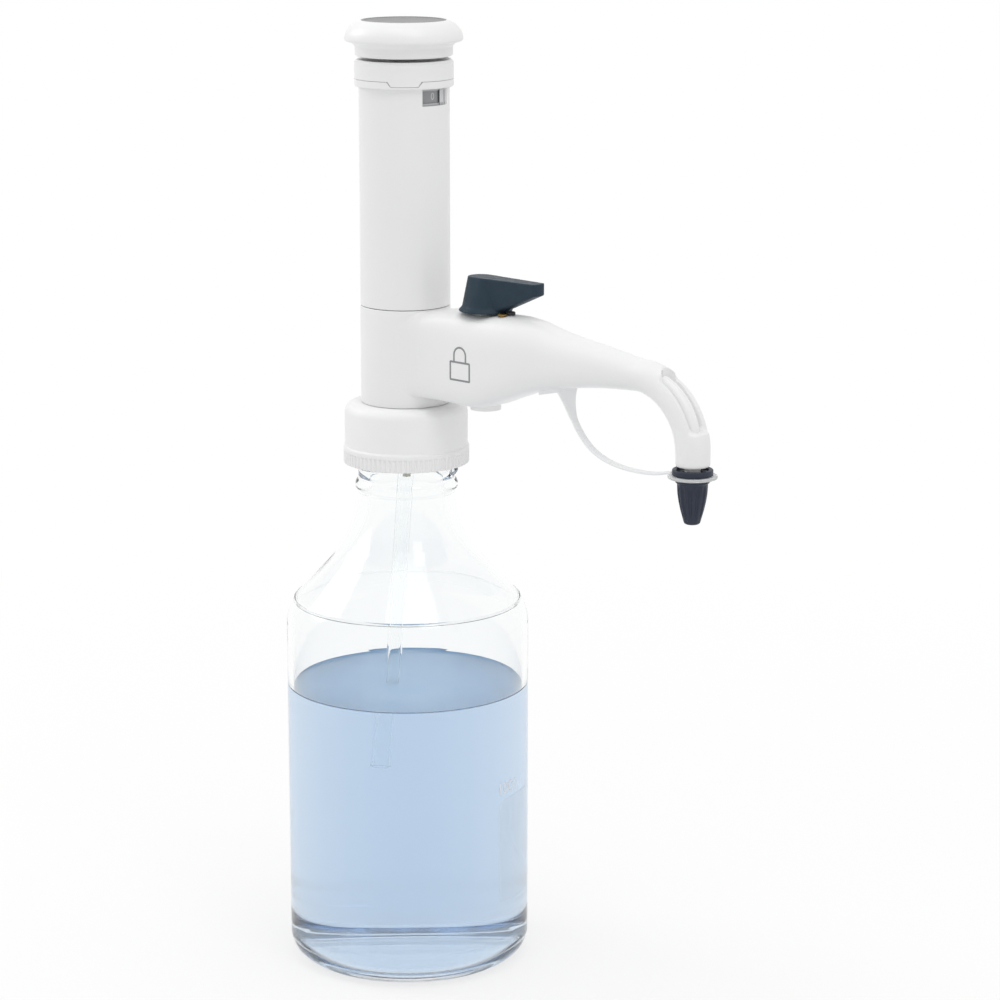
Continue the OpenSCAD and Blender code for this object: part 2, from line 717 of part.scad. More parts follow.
module strap_anchor() {
    color("whitesmoke") anchor_place() translate([0, 0, anchor_rise - anchor_t/2])
        cube([anchor_len, anchor_w, anchor_t], center=true);
}

// The small screw beside the lever's skirt, under its finger
catch_x = lever_x + 12.6;
catch_y = -3.8;
catch_shank_r = 1.2;
module catch_screw() {
    color("goldenrod") {
        translate([catch_x, catch_y, lever_z - 5.9]) cylinder(r=catch_shank_r, h=6.2);
        translate([catch_x, catch_y, lever_z + 0.2]) cylinder(r=2, h=0.8);
    }
}

// ---------------------------------------------------------------- plunger

module piston_seal() {
    lip = run_gap;
    color("white") translate([0, 0, piston_z]) difference() {
        cylinder(r=cylinder_bore_d/2 - lip, h=seal_h);
        translate([0, 0, 1.5]) cylinder(r=cylinder_bore_d/2 - 2.5, h=seal_h);
        translate([0, 0, 2]) tube(cylinder_bore_d, cylinder_bore_d/2 - 0.8, seal_h - 4, 0);
    }
}

module piston_head() {
    neck_r = cylinder_bore_d/2 - 2.5 - seat_gap;
    color("white") {
        difference() {
            union() {
                translate([0, 0, piston_z + 1.5]) cylinder(r=neck_r, h=seal_h);
                translate([0, 0, piston_z + seal_h + seat_gap]) cylinder(r=cylinder_bore_d/2 - 0.5, h=piston_h - seal_h);
            }
            translate([0, 0, piston_z + piston_h - 6]) cylinder(r=rod_d/2 + seat_gap, h=10);
        }
    }
}

module piston_rod() {
    rod_z = piston_z + piston_h - 6;
    color("silver") {
        translate([0, 0, rod_z]) cylinder(r=rod_d/2, h=plate_z - rod_z);
        translate([0, 0, plate_z]) cylinder(r=axle_r, h=knob_top_z - 6 - plate_z);
    }
}

module sleeve() {
    color("white") difference() {
        tube(sleeve_r, sleeve_bore_r, sleeve_len, sleeve_z);
        translate([0, -window_w/2, sleeve_top_z - window_h]) cube([sleeve_r + 1, window_w, window_h + 1]);
    }
}

module drive_plate() {
    color("gainsboro") difference() {
        translate([0, 0, plate_z]) cylinder(r=sleeve_bore_r - seat_gap, h=plate_t);
        translate([0, 0, plate_z - 1]) cylinder(r=axle_r + seat_gap, h=plate_t + 2);
        translate([screw_x, 0, plate_z - 1]) cylinder(r=screw_r + run_gap, h=plate_t + 2);
    }
}

// The tab that the head ring sends down into the clip ring, grown by a gap
tab_angle = -45;
tab_flare = 1.9;
module clip_tab(gap, from_z) {
    w = tab_w/2 + gap;
    low = clip_top_z - tab_drop - gap;
    rotate([0, 0, tab_angle]) translate([ring_r - 2, 0, 0]) rotate([90, 0, 90]) linear_extrude(4)
        polygon([[-w - tab_flare, from_z], [-w, low], [w, low], [w + tab_flare, from_z]]);
}

seam = 0.15;
module clip_ring() {
    color("white") difference() {
        tube(ring_r, sleeve_bore_r, clip_ring_h, sleeve_top_z);
        clip_tab(seam, clip_top_z + seam);
        tube(ring_r + 1, ring_r - 0.3, 0.4, sleeve_top_z - 0.1);
    }
}

module head_ring() {
    web_t = 3;
    edge = 1;
    color("white") difference() {
        union() {
            translate([0, 0, clip_top_z + seam]) cylinder(r=ring_r, h=head_ring_h - seam - edge);
            translate([0, 0, head_ring_top_z - edge]) cylinder(r1=ring_r, r2=ring_r - edge, h=edge);
            intersection() {
                tube(ring_r, ring_r - 1.4, clip_ring_h + 1, sleeve_top_z);
                clip_tab(0, clip_top_z + 1);
            }
        }
        translate([0, 0, sleeve_top_z]) cylinder(r=sleeve_bore_r, h=head_ring_top_z - web_t - sleeve_top_z);
        translate([0, 0, sleeve_top_z]) cylinder(r=hub_r + free_gap, h=30);
    }
}

// ---------------------------------------------------------------- knob and volume setting

module knob() {
    skirt_r = knob_skirt_d/2;
    brim_r = knob_d/2;
    disc_r = disc_d/2;
    brim_z = knob_z + brim_rise;
    wall = 1.8;
    hub_top_z = knob_top_z - 5;
    color("white") difference() {
        revolve(concat(
            [[0, knob_z], [skirt_r - 0.7, knob_z], [skirt_r, knob_z + 0.7]],
            [[skirt_r, brim_z - 2.6], [skirt_r + 0.8, brim_z - 1.7], [skirt_r + 2, brim_z - 1]],
            [[brim_r - 0.5, brim_z - 0.6], [brim_r, brim_z]],
            [for (t = [85:-12.5:10]) [
                disc_r + 0.1 + (brim_r - disc_r - 0.1)*pow(sin(t), 1.4),
                brim_z + 0.6 + (knob_top_z - brim_z - 0.6)*cos(t)
            ]],
            [[disc_r + 0.1, knob_top_z], [disc_r + seat_gap, knob_top_z - disc_t], [0, knob_top_z - disc_t]]
        ));
        // the hollow under the knob, and the hub's seat
        translate([0, 0, knob_z - 1]) cylinder(r=skirt_r - wall, h=hub_top_z - 2.4 - knob_z + 1);
        translate([0, 0, knob_z]) cylinder(r=hub_r + seat_gap, h=hub_top_z - knob_z);
    }
}

module knob_disc() {
    color("darkgray") translate([0, 0, knob_top_z - disc_t + seat_gap]) difference() {
        cylinder(r=disc_d/2, h=disc_t - 0.05);
        translate([0, 0, disc_t - 0.3]) cylinder(r=disc_d/2 - 1.2, h=1);
    }
}

// Involute point at a roll angle on a base circle
function involute(base_r, roll) =
    base_r*[cos(roll) + roll*PI/180*sin(roll), sin(roll) - roll*PI/180*cos(roll)];

// Outline of a spur gear with backlash taken off each tooth
function gear_outline(teeth) =
    let (
        pitch_r = gear_module*teeth/2,
        base_r = pitch_r*cos(pressure_angle),
        tip_r = pitch_r + 0.92*gear_module,
        root_r = pitch_r - 1.2*gear_module,
        roll_tip = sqrt(pow(tip_r/base_r, 2) - 1)*180/PI,
        roll_pitch = tan(pressure_angle)*180/PI,
        lean = atan2(involute(base_r, roll_pitch)[1], involute(base_r, roll_pitch)[0]),
        half = 90/teeth - backlash/2/pitch_r*180/PI + lean,
        flank = [for (k = [0:4]) involute(base_r, roll_tip*k/4)]
    )
    [for (t = [0:teeth-1]) let (turn = 360*t/teeth) each concat(
        [root_r*[cos(turn - half), sin(turn - half)]],
        [for (p = flank) [p[0]*cos(turn - half) - p[1]*sin(turn - half),
                          p[0]*sin(turn - half) + p[1]*cos(turn - half)]],
        [for (k = [4:-1:0]) let (p = flank[k])
            [p[0]*cos(turn + half) + p[1]*sin(turn + half),
             p[0]*sin(turn + half) - p[1]*cos(turn + half)]],
        [root_r*[cos(turn + half), sin(turn + half)]]
    )];

module knob_hub() {
    hub_top_z = knob_top_z - 5;
    color("gainsboro") difference() {
        union() {
            translate([0, 0, gear_z]) cylinder(r=hub_r, h=hub_top_z - gear_z);
            translate([0, 0, gear_z]) rotate([0, 0, 180/hub_teeth]) linear_extrude(gear_t) polygon(gear_outline(hub_teeth));
        }
        translate([0, 0, gear_z - 1]) cylinder(r=axle_r + run_gap, h=hub_top_z - gear_z + 2);
    }
}

module digit_drum() {
    web_z = sleeve_top_z - 2;
    color("dimgray") difference() {
        union() {
            tube(drum_r, drum_r - drum_t, window_h + 0.2, drum_z);
            translate([0, 0, web_z]) cylinder(r=drum_r - drum_t/2, h=1.2);
        }
        translate([0, 0, web_z - 1]) cylinder(r=hub_r + seat_gap, h=4);
    }
}

module lead_screw() {
    low_z = stop_ring_z - stroke - nut_h - 1.5;
    color("silver") translate([screw_x, 0, low_z]) cylinder(r=screw_r, h=gear_z + gear_t - low_z);
}

module screw_pinion() {
    color("goldenrod") translate([screw_x, 0, gear_z]) difference() {
        linear_extrude(gear_t) polygon(gear_outline(pinion_teeth));
        translate([0, 0, -1]) cylinder(r=screw_r + seat_gap, h=gear_t + 2);
    }
}

// The sector of the ring space between the glass cylinder and the guard tube that the nut fills
module nut_sector(grow, h) {
    inner = cylinder_r + 0.4 - grow;
    outer = guard_r - guard_wall - 0.4 + grow;
    spread = 22 + grow*3;
    rotate([0, 0, 180 - spread]) rotate_extrude(angle=2*spread)
        translate([inner, 0]) square([outer - inner, h]);
}

module stop_nut() {
    nut_z = stop_ring_z - stroke - nut_h - free_gap;
    color("goldenrod") translate([0, 0, nut_z]) difference() {
        nut_sector(0, nut_h);
        translate([screw_x, 0, -1]) cylinder(r=screw_r + run_gap, h=nut_h + 2);
    }
}

// ---------------------------------------------------------------- lever

module lever() {
    top_z = lever_z + lever_h;
    skirt_r = skirt_d/2;
    tip_x = lever_x + lever_reach;
    top_r = 4.8;
    edge = 1;
    module top_disc(x) translate([x, 0, top_z - edge]) cylinder(r1=top_r, r2=top_r - edge, h=edge, $fn=24);
    color("darkslategray") difference() {
        union() {
            translate([lever_x, 0, lever_z + free_gap]) {
                cylinder(r1=skirt_r - 0.5, r2=skirt_r, h=0.6);
                translate([0, 0, 0.6]) cylinder(r1=skirt_r, r2=skirt_r - 1.4, h=1.6);
            }
            // the hub, from the round skirt up to the narrow top
            hull() {
                translate([lever_x, 0, lever_z + 2]) cylinder(r=skirt_r - 1.3, h=0.4, $fn=32);
                top_disc(lever_x - 2.8);
                top_disc(lever_x + 1);
            }
            // the finger, whose underside climbs to the tip
            hull() {
                translate([lever_x + 4.6, 0, lever_z + 0.7]) cylinder(r=top_r, h=0.6, $fn=24);
                top_disc(lever_x);
                for (side = [-1, 1]) translate([tip_x - 1, side*2.3, top_z - 4.8]) {
                    cylinder(r=1, h=4.3, $fn=16);
                    cylinder(r=0.4, h=4.8, $fn=16);
                }
            }
        }
        // socket of the spindle's square
        translate([lever_x, 0, lever_z + 3]) cube([6 + 2*seat_gap, 6 + 2*seat_gap, 14], center=true);
    }
}

module stopcock_spindle() {
    spindle_z = cock_z + 4.2;
    color("ivory") difference() {
        union() {
            translate([lever_x, 0, spindle_z]) cylinder(r=spindle_d/2, h=lever_z + 0.2 - spindle_z);
            translate([lever_x - 3, -3, lever_z - 1]) cube([6, 6, 10]);
        }
        translate([lever_x, 0, duct_z]) rotate([0, 90, 0]) cylinder(r=duct_r, h=spindle_d + 2, center=true);
    }
}

// ---------------------------------------------------------------- discharge cap

module discharge_cap() {
    flange_r = cap_flange_d/2;
    body_r = cap_d/2;
    low_z = cap_top_z - cap_h;
    cone_h = cap_h - cap_flange_t - strap_t - 1.8;
    bore_low = cone_h*0.46;
    color("darkslategray") difference() {
        union() {
            revolve(concat(
                [[0, low_z], [cap_tip_d/2 - 0.8, low_z], [cap_tip_d/2, low_z + 0.9]],
                [[cap_tip_d/2 + 0.6*(body_r - cap_tip_d/2), low_z + cone_h*0.38]],
                [[body_r - 0.1, low_z + cone_h*0.68], [body_r, low_z + cone_h]],
                [[body_r + 0.8, low_z + cone_h + 1]],
                [[body_r + 0.8, cap_top_z - cap_flange_t - strap_t - 0.1]],
                [[body_r, cap_top_z - cap_flange_t - strap_t - 0.1]],
                [[body_r, cap_top_z - cap_flange_t], [flange_r - 0.5, cap_top_z - cap_flange_t]],
                [[flange_r, cap_top_z - cap_flange_t + 0.5], [flange_r, cap_top_z - 0.7]],
                [[flange_r - 0.7, cap_top_z], [0, cap_top_z]]
            ));
            // grip ribs down the cone
            for (k = [0:cap_ribs-1]) rotate([0, 0, 360*k/cap_ribs])
                translate([0, 0, low_z + 3.6])
                    rotate([90, 0, 0]) linear_extrude(0.9, center=true) polygon([
                        [0, 0], [cap_tip_d/2 + 0.7, 0], [body_r + 0.15, cone_h*0.62 - 3.6],
                        [body_r + 0.15, cone_h - 3.8], [0, cone_h - 3.8]
                    ]);
        }
        translate([0, 0, low_z + cap_tip_t]) cylinder(r1=1, r2=cap_bore_r, h=bore_low - cap_tip_t + eps);
        translate([0, 0, low_z + bore_low]) cylinder(r=cap_bore_r, h=cap_h);
        // notches in the flange
        for (a = [35:90:305]) rotate([0, 0, a])
            translate([flange_r - 2.6, -1.1, cap_top_z - 1.5]) cube([1.7, 2.2, 2]);
    }
}

// Half width of the strap at a share of its length: a wide root, then the thin run
function strap_half(f) = (strap_w + (strap_root_w - strap_w)*pow(max(0, 1 - f/0.24), 1.2))/2;

module cap_strap() {
    last = len(strap_path) - 1;
    steps = 2;
    curve = [
        for (i = [0:last-1], k = [0:steps-1])
            smooth(strap_path[max(i - 1, 0)], strap_path[i], strap_path[i + 1], strap_path[min(i + 2, last)],
                   k/steps),
        strap_path[last]
    ];
    end = len(curve) - 1;
    rings = [for (i = [0:end]) let (
        way = curve[min(i + 1, end)] - curve[max(i - 1, 0)],
        out = strap_t/2*[way[1], -way[0]]/norm(way),
        w = strap_half(i/end),
        p = curve[i]
    ) [
        [p[0] + out[0], -w, p[1] + out[1]], [p[0] + out[0], w, p[1] + out[1]],
        [p[0] - out[0], w, p[1] - out[1]], [p[0] - out[0], -w, p[1] - out[1]]
    ]];
    color("whitesmoke") {
        skin(rings);
        translate([nozzle_x, 0, 0]) tube(strap_ring_r, cap_d/2 + 0.1, strap_t, strap_ring_z);
    }
}

bottle();
rim_gasket();
neck_adapter();
screw_collar();
head_housing();
valve_block();
swivel_clip();
intake_valve();
intake_ball();
feed_tube();
glass_cylinder();
guard_tube();
stop_ring();
stopcock_body();
discharge_valve();
discharge_ball();
discharge_tube();
valve_plug();
strap_anchor();
catch_screw();
piston_seal();
piston_head();
piston_rod();
sleeve();
drive_plate();
clip_ring();
head_ring();
knob();
knob_disc();
knob_hub();
digit_drum();
lead_screw();
screw_pinion();
stop_nut();
lever();
stopcock_spindle();
translate([nozzle_x, 0, 0]) discharge_cap();
cap_strap();
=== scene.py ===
import math

import bmesh
import bpy
from mathutils import Matrix, Vector
from mathutils.bvhtree import BVHTree


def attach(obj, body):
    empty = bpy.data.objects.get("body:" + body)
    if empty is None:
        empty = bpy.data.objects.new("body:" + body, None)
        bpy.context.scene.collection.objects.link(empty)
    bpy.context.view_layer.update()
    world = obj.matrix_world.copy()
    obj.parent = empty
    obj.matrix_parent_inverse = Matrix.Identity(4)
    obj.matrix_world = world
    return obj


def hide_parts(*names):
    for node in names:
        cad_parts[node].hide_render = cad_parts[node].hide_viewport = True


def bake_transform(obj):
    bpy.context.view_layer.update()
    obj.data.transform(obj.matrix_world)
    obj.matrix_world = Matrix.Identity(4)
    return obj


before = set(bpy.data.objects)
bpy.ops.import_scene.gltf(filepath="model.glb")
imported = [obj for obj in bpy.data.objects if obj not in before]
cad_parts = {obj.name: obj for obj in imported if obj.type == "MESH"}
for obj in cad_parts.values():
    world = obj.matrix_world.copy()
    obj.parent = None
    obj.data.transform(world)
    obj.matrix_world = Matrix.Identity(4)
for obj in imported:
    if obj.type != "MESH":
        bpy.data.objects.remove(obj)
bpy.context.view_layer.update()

MM = 0.001

# Heights of the stack and radii that several pieces share
NECK_BASE = 201
COLLAR_BASE = 213.15
COLLAR_TOP = 238.35
HEAD_BASE = 238.65
HEAD_TOP = 278.65
SLEEVE_BASE = 278.95
SLEEVE_TOP = 367.95
KNOB_BASE = 379.95
KNOB_TOP = 394.35
LEVER_BASE = 280.75
LEVER_TOP = 294.75
HEAD_R = 18.5
SLEEVE_R = 18.4
DRUM_R = 16.6
LEVER_X = 45
NOZZLE_X = 153
CAP_TOP = 232.25
BEND = (126, 238.35, 27)
DUCT_Z = 257.95

# The bottle's cone, measured from the axis
CONE = math.radians(43)


# ------------------------------------------------------------------ meshes

def arc(x, z, r, a, b, steps=16):
    """Points of an arc about (x, z) from angle a to angle b, in degrees."""
    turns = [math.radians(a + (b - a) * k / steps) for k in range(steps + 1)]
    return [(x + r * math.cos(t), z + r * math.sin(t)) for t in turns]


def lathe(outline, steps=128, closed=False, at=(0, 0)):
    """A half outline of (r, z) or (r, z, round) spun about the upright axis through at."""
    bm = bmesh.new()
    verts = [bm.verts.new((p[0] * MM, 0, p[1] * MM)) for p in outline]
    for pair in zip(verts, verts[1:] + verts[:1] if closed else verts[1:]):
        bm.edges.new(pair)
    for vert, point in zip(verts, outline):
        if len(point) == 3:
            bmesh.ops.bevel(bm, geom=[vert], offset=point[2] * MM, offset_type="OFFSET",
                            segments=5, profile=0.5, affect="VERTICES", material=-1)
    bmesh.ops.spin(bm, geom=bm.verts[:] + bm.edges[:], cent=(0, 0, 0), axis=(0, 0, 1),
                   dvec=(0, 0, 0), angle=math.tau, steps=steps, use_merge=True)
    return settle(bm, at)


def settle(bm, at=(0, 0)):
    """Doubles merged, faces turned outwards, and the shape moved over at."""
    bmesh.ops.remove_doubles(bm, verts=bm.verts[:], dist=2e-6)
    bmesh.ops.recalc_face_normals(bm, faces=bm.faces[:])
    bmesh.ops.translate(bm, verts=bm.verts[:], vec=(at[0] * MM, at[1] * MM, 0))
    return bm


def sheet_grid(along, around, place, ends=True):
    """A grid whose point (i, k) goes to place(i, k), closed round its second way."""
    bm = bmesh.new()
    bmesh.ops.create_grid(bm, x_segments=along, y_segments=around, size=0.5)
    for vert in bm.verts:
        i = round((vert.co.x + 0.5) * along)
        k = round((vert.co.y + 0.5) * around)
        vert.co = Vector(place(i, k % around)) * MM
    bmesh.ops.remove_doubles(bm, verts=bm.verts[:], dist=2e-6)
    if ends:
        bmesh.ops.holes_fill(bm, edges=bm.edges[:], sides=0)
    bmesh.ops.recalc_face_normals(bm, faces=bm.faces[:])
    return bm


def piece(name, bm, finish, body=None, replaces=(), sharp=38):
    """A finished piece at the origin, riding on its body."""
    mesh = bpy.data.meshes.new(name)
    bm.to_mesh(mesh)
    bm.free()
    mesh.shade_smooth()
    mesh.set_sharp_from_angle(angle=math.radians(sharp))
    mesh.materials.append(finish)
    obj = bpy.data.objects.new(name, mesh)
    bpy.context.scene.collection.objects.link(obj)
    if body:
        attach(obj, body)
    if replaces:
        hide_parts(*replaces)
    return obj


def smooth(a, b, c, d, t):
    """A smooth curve through four numbers, between the middle two."""
    return (2 * b + (c - a) * t + (2 * a - 5 * b + 4 * c - d) * t * t
            + (3 * b - a - 3 * c + d) * t ** 3) / 2


def ease(x, low, high):
    """0 under low, 1 over high, and a soft S between."""
    t = min(1, max(0, (x - low) / (high - low)))
    return t * t * (3 - 2 * t)


# --------------------------------------------------------------- materials

def linear(code, alpha=1):
    """An sRGB hex colour as the linear numbers that a socket takes."""
    parts = [int(code[k:k + 2], 16) / 255 for k in (1, 3, 5)]
    return [p / 12.92 if p <= 0.04045 else ((p + 0.055) / 1.055) ** 2.4 for p in parts] + [alpha]


def add(tree, kind, sockets=None, **settings):
    """A node with its settings, and each socket's value or the socket that feeds it."""
    node = tree.nodes.new(kind)
    for key, value in settings.items():
        setattr(node, key, value)
    for key, value in (sockets or {}).items():
        if isinstance(value, bpy.types.NodeSocket):
            tree.links.new(value, node.inputs[key])
        else:
            node.inputs[key].default_value = value
    return node


def material(name, sockets):
    """A material with its shader's own sockets set. Returns it, its tree and the shader."""
    made = bpy.data.materials.new(name)
    made.use_nodes = True
    tree = made.node_tree
    shader = tree.nodes["Principled BSDF"]
    for key, value in sockets.items():
        shader.inputs[key].default_value = value
    return made, tree, shader


def grain(tree, shader, size, depth, detail=2.0):
    """Fine unevenness of size mm, depth mm deep, on the shader's normal. Returns its noise."""
    place = add(tree, "ShaderNodeTexCoord")
    noise = add(tree, "ShaderNodeTexNoise", {"Vector": place.outputs["Object"],
                "Scale": 1 / (size * MM), "Detail": detail, "Roughness": 0.5})
    bump = add(tree, "ShaderNodeBump", {"Height": noise.outputs["Fac"], "Strength": 1.0,
               "Distance": depth * MM})
    tree.links.new(bump.outputs["Normal"], shader.inputs["Normal"])
    return noise


def vary(tree, shader, socket, size, low, high, detail=3.0):
    """A socket that drifts between low and high over patches of size mm."""
    place = add(tree, "ShaderNodeTexCoord")
    noise = add(tree, "ShaderNodeTexNoise", {"Vector": place.outputs["Object"],
                "Scale": 1 / (size * MM), "Detail": detail})
    if isinstance(low, str):
        mix = add(tree, "ShaderNodeMix", {"Factor": noise.outputs["Fac"]}, data_type="RGBA")
        mix.inputs[6].default_value = linear(low)
        mix.inputs[7].default_value = linear(high)
        tree.links.new(mix.outputs[2], shader.inputs[socket])
    else:
        span = add(tree, "ShaderNodeMapRange", {"Value": noise.outputs["Fac"], "From Min": 0.3,
                   "From Max": 0.7, "To Min": low, "To Max": high})
        tree.links.new(span.outputs["Result"], shader.inputs[socket])


def white_moulding():
    """Glossy moulded polypropylene: a clean white with a soft sheen that wanders a little
    where the skin shrank off the steel."""
    made, tree, shader = material("white_moulded_pp", {"IOR": 1.49, "Roughness": 0.34})
    vary(tree, shader, "Base Color", 24, "#ececec", "#efefef")
    vary(tree, shader, "Roughness", 9, 0.30, 0.40)
    grain(tree, shader, 1.6, 0.004)
    return made


def collar_moulding():
    """Matt moulded polypropylene of the screw collar: a fine spark-eroded texture of about
    0.25 mm, drawn at 0.35 mm so that it shows."""
    made, tree, shader = material("matt_moulded_pp", {"IOR": 1.49, "Roughness": 0.5})
    vary(tree, shader, "Base Color", 18, "#ededed", "#f2f2f2")
    vary(tree, shader, "Roughness", 6, 0.46, 0.58)
    grain(tree, shader, 0.35, 0.008, 1)
    return made


def slate_moulding(name, low, high, sheen):
    """Glass-filled polypropylene dyed through: a dark slate whose fibres leave a faint
    cloudy mottle and a satin skin."""
    made, tree, shader = material(name, {"IOR": 1.5, "Roughness": 0.42,
        "Specular IOR Level": sheen})
    vary(tree, shader, "Base Color", 3, low, high, 5)
    vary(tree, shader, "Roughness", 2.5, 0.36, 0.5)
    grain(tree, shader, 0.5, 0.012, 2)
    return made


def bottle_glass():
    """Blown borosilicate glass: clear, with slow waves of some 14 mm left by the mould."""
    made, tree, shader = material("borosilicate_glass", {"Base Color": linear("#fdfefe"),
        "IOR": 1.34, "Roughness": 0.0, "Transmission Weight": 1.0})
    grain(tree, shader, 14, 0.03, 1)
    return made


def cylinder_glass():
    """Drawn glass of the measuring cylinder, ground smooth inside."""
    made, tree, shader = material("drawn_glass", {"Base Color": linear("#f4f8f8"),
        "IOR": 1.473, "Roughness": 0.02, "Transmission Weight": 1.0})
    grain(tree, shader, 6, 0.004, 1)
    return made


def dyed_water():
    """Water with a pale blue dye, whose tint grows with the depth that light crosses."""
    made, tree, shader = material("dyed_water", {"Base Color": linear("#ffffff"),
        "IOR": 1.333, "Roughness": 0.0, "Transmission Weight": 1.0})
    grain(tree, shader, 30, 0.02, 1)
    depth = add(tree, "ShaderNodeVolumeAbsorption", {"Color": linear("#95c2e6"),
                "Density": 10.0})
    tree.links.new(depth.outputs["Volume"], tree.nodes["Material Output"].inputs["Volume"])
    return made


def water_face():
    """The liquid's face seen at a low angle: it gives back the dye's colour from below."""
    made, tree, shader = material("dyed_water_face", {"IOR": 1.333, "Roughness": 0.02})
    vary(tree, shader, "Base Color", 12, "#98c1e6", "#abcdec")
    side = add(tree, "ShaderNodeNewGeometry")
    clear = add(tree, "ShaderNodeMapRange", {"Value": side.outputs["Backfacing"],
                "To Min": 0.3, "To Max": 1.0})
    tree.links.new(clear.outputs["Result"], shader.inputs["Transmission Weight"])
    grain(tree, shader, 30, 0.02, 1)
    depth = add(tree, "ShaderNodeVolumeAbsorption", {"Color": linear("#95c2e6"),
                "Density": 10.0})
    tree.links.new(depth.outputs["Volume"], tree.nodes["Material Output"].inputs["Volume"])
    return made


def clear_tubing():
    """Extruded FEP tube: milky clear, with faint lines from the die along it."""
    made, tree, shader = material("fep_tube", {"Base Color": linear("#fdfefe"), "IOR": 1.1,
        "Roughness": 0.06, "Transmission Weight": 1.0})
    vary(tree, shader, "Roughness", 3, 0.02, 0.1)
    grain(tree, shader, 1.2, 0.006, 1)
    return made


def milky_tubing():
    """Thick-walled FEP tube seen against white: milky, half clear, glossy from the die."""
    made, tree, shader = material("milky_fep_tube", {"Base Color": linear("#fafafa"),
        "IOR": 1.344, "Roughness": 0.12, "Transmission Weight": 0.1})
    vary(tree, shader, "Roughness", 3, 0.1, 0.2)
    grain(tree, shader, 2.5, 0.01, 1)
    return made


def soft_strap(name, through):
    """Moulded polyethylene: soft white, a little see-through where it is a thin ring over
    something dark."""
    made, tree, shader = material(name, {"Base Color": linear("#f0f1f2"), "IOR": 1.51,
        "Roughness": 0.38, "Transmission Weight": through})
    vary(tree, shader, "Roughness", 4, 0.32, 0.46)
    grain(tree, shader, 3, 0.001, 1)
    return made


def plain_polymer(name, low, high, rough, ior, size=0.8):
    """A plain moulding of the named polymer: an even colour with a fine skin."""
    made, tree, shader = material(name, {"IOR": ior, "Roughness": rough})
    vary(tree, shader, "Base Color", 8, low, high)
    vary(tree, shader, "Roughness", 4, rough - 0.05, rough + 0.06)
    grain(tree, shader, size, 0.006, 2)
    return made


def turned_metal(name, low, high, rough, groove):
    """Bar metal turned on a lathe: fine rings across its length, groove mm apart."""
    made, tree, shader = material(name, {"Metallic": 1.0, "Roughness": rough})
    vary(tree, shader, "Base Color", 5, low, high)
    vary(tree, shader, "Roughness", 2, rough - 0.06, rough + 0.08)
    place = add(tree, "ShaderNodeTexCoord")
    rings = add(tree, "ShaderNodeTexWave", {"Vector": place.outputs["Object"],
                "Scale": 0.314 / (groove * MM), "Distortion": 0.6}, bands_direction="Z")
    bump = add(tree, "ShaderNodeBump", {"Height": rings.outputs["Fac"], "Distance": 0.004 * MM})
    tree.links.new(bump.outputs["Normal"], shader.inputs["Normal"])
    return made


def ink(name, code, rough=0.55):
    """Pad-printed ink: a thin flat layer, a touch patchy where the pad lifted off."""
    made, tree, shader = material(name, {"IOR": 1.5, "Roughness": rough})
    low = "#" + "".join(format(max(0, int(code[k:k + 2], 16) - 6), "02x") for k in (1, 3, 5))
    vary(tree, shader, "Base Color", 1.5, code, low, 3)
    return made


def enamel(name, cover):
    """Screen-printed white enamel fired onto glass: a matt, uneven film that lets the
    liquid show through by as much as cover leaves."""
    made, tree, shader = material(name, {"IOR": 1.5, "Roughness": 0.7, "Alpha": cover})
    vary(tree, shader, "Base Color", 6, "#e9edf1", "#f2f5f8")
    return made


WHITE = white_moulding()
COLLAR = collar_moulding()
SLATE = slate_moulding("slate_glass_filled_pp", "#293742", "#2f3e4a", 0.13)
CAP_SLATE = slate_moulding("dark_slate_pp", "#2d3240", "#333947", 0.24)
GLASS = bottle_glass()
BORE_GLASS = cylinder_glass()
WATER = dyed_water()
WATER_FACE = water_face()
TUBE = clear_tubing()
MILKY = milky_tubing()
STRAP = soft_strap("soft_polyethylene", 0.0)
STRAP_RING = soft_strap("thin_polyethylene", 0.45)
GREY_DISC = plain_polymer("grey_moulded_abs", "#7e7e7e", "#868686", 0.46, 1.5)
GREY = plain_polymer("grey_acetal", "#d8d8d8", "#dedede", 0.4, 1.48)
DARK = plain_polymer("mid_grey_abs", "#8c8e90", "#949698", 0.45, 1.54)
FLUORO = plain_polymer("ivory_etfe", "#eeeade", "#f3efe6", 0.36, 1.4)
SEAL = plain_polymer("ptfe_seal", "#f2f2ef", "#f7f7f4", 0.5, 1.35)
CERAMIC = plain_polymer("ground_ceramic", "#f4f3ee", "#f8f7f3", 0.2, 1.7)
STEEL = turned_metal("turned_stainless_steel", "#b9bbbd", "#c9cbcc", 0.28, 0.5)
# the brass is darker than its own colour: painted shade, for the catch screw that sits in shade
# under the lever
SHADED_BRASS = turned_metal("turned_brass_painted_shade", "#7d6437", "#8b7142", 0.36, 0.5)
PRINT = ink("grey_print", "#8d8f92")
FIGURE = ink("figure_print", "#c9cacb")
FROST = enamel("thin_white_enamel", 0.08)
ENAMEL = enamel("white_enamel", 0.6)
# black for the painted shadow under the lever's skirt, beside the catch screw
SKIRT_SHADOW_BLACK = plain_polymer("black_painted_skirt_shadow", "#2c2d2f", "#343537", 0.6, 1.52)
# dark grey for a painted shadow: the strip in the sleeve's window that stands in for the shade of
# the gap
GAP_SHADOW_GREY = plain_polymer("painted_gap_shadow", "#57595c", "#5d6063", 0.45, 1.5)
FRAME = plain_polymer("pale_grey_frame", "#b4b6b8", "#babcbe", 0.45, 1.5)
BLANK = plain_polymer("light_grey_blank", "#cfd1d3", "#d5d7d9", 0.45, 1.5)


# ------------------------------------------------------------------ bottle

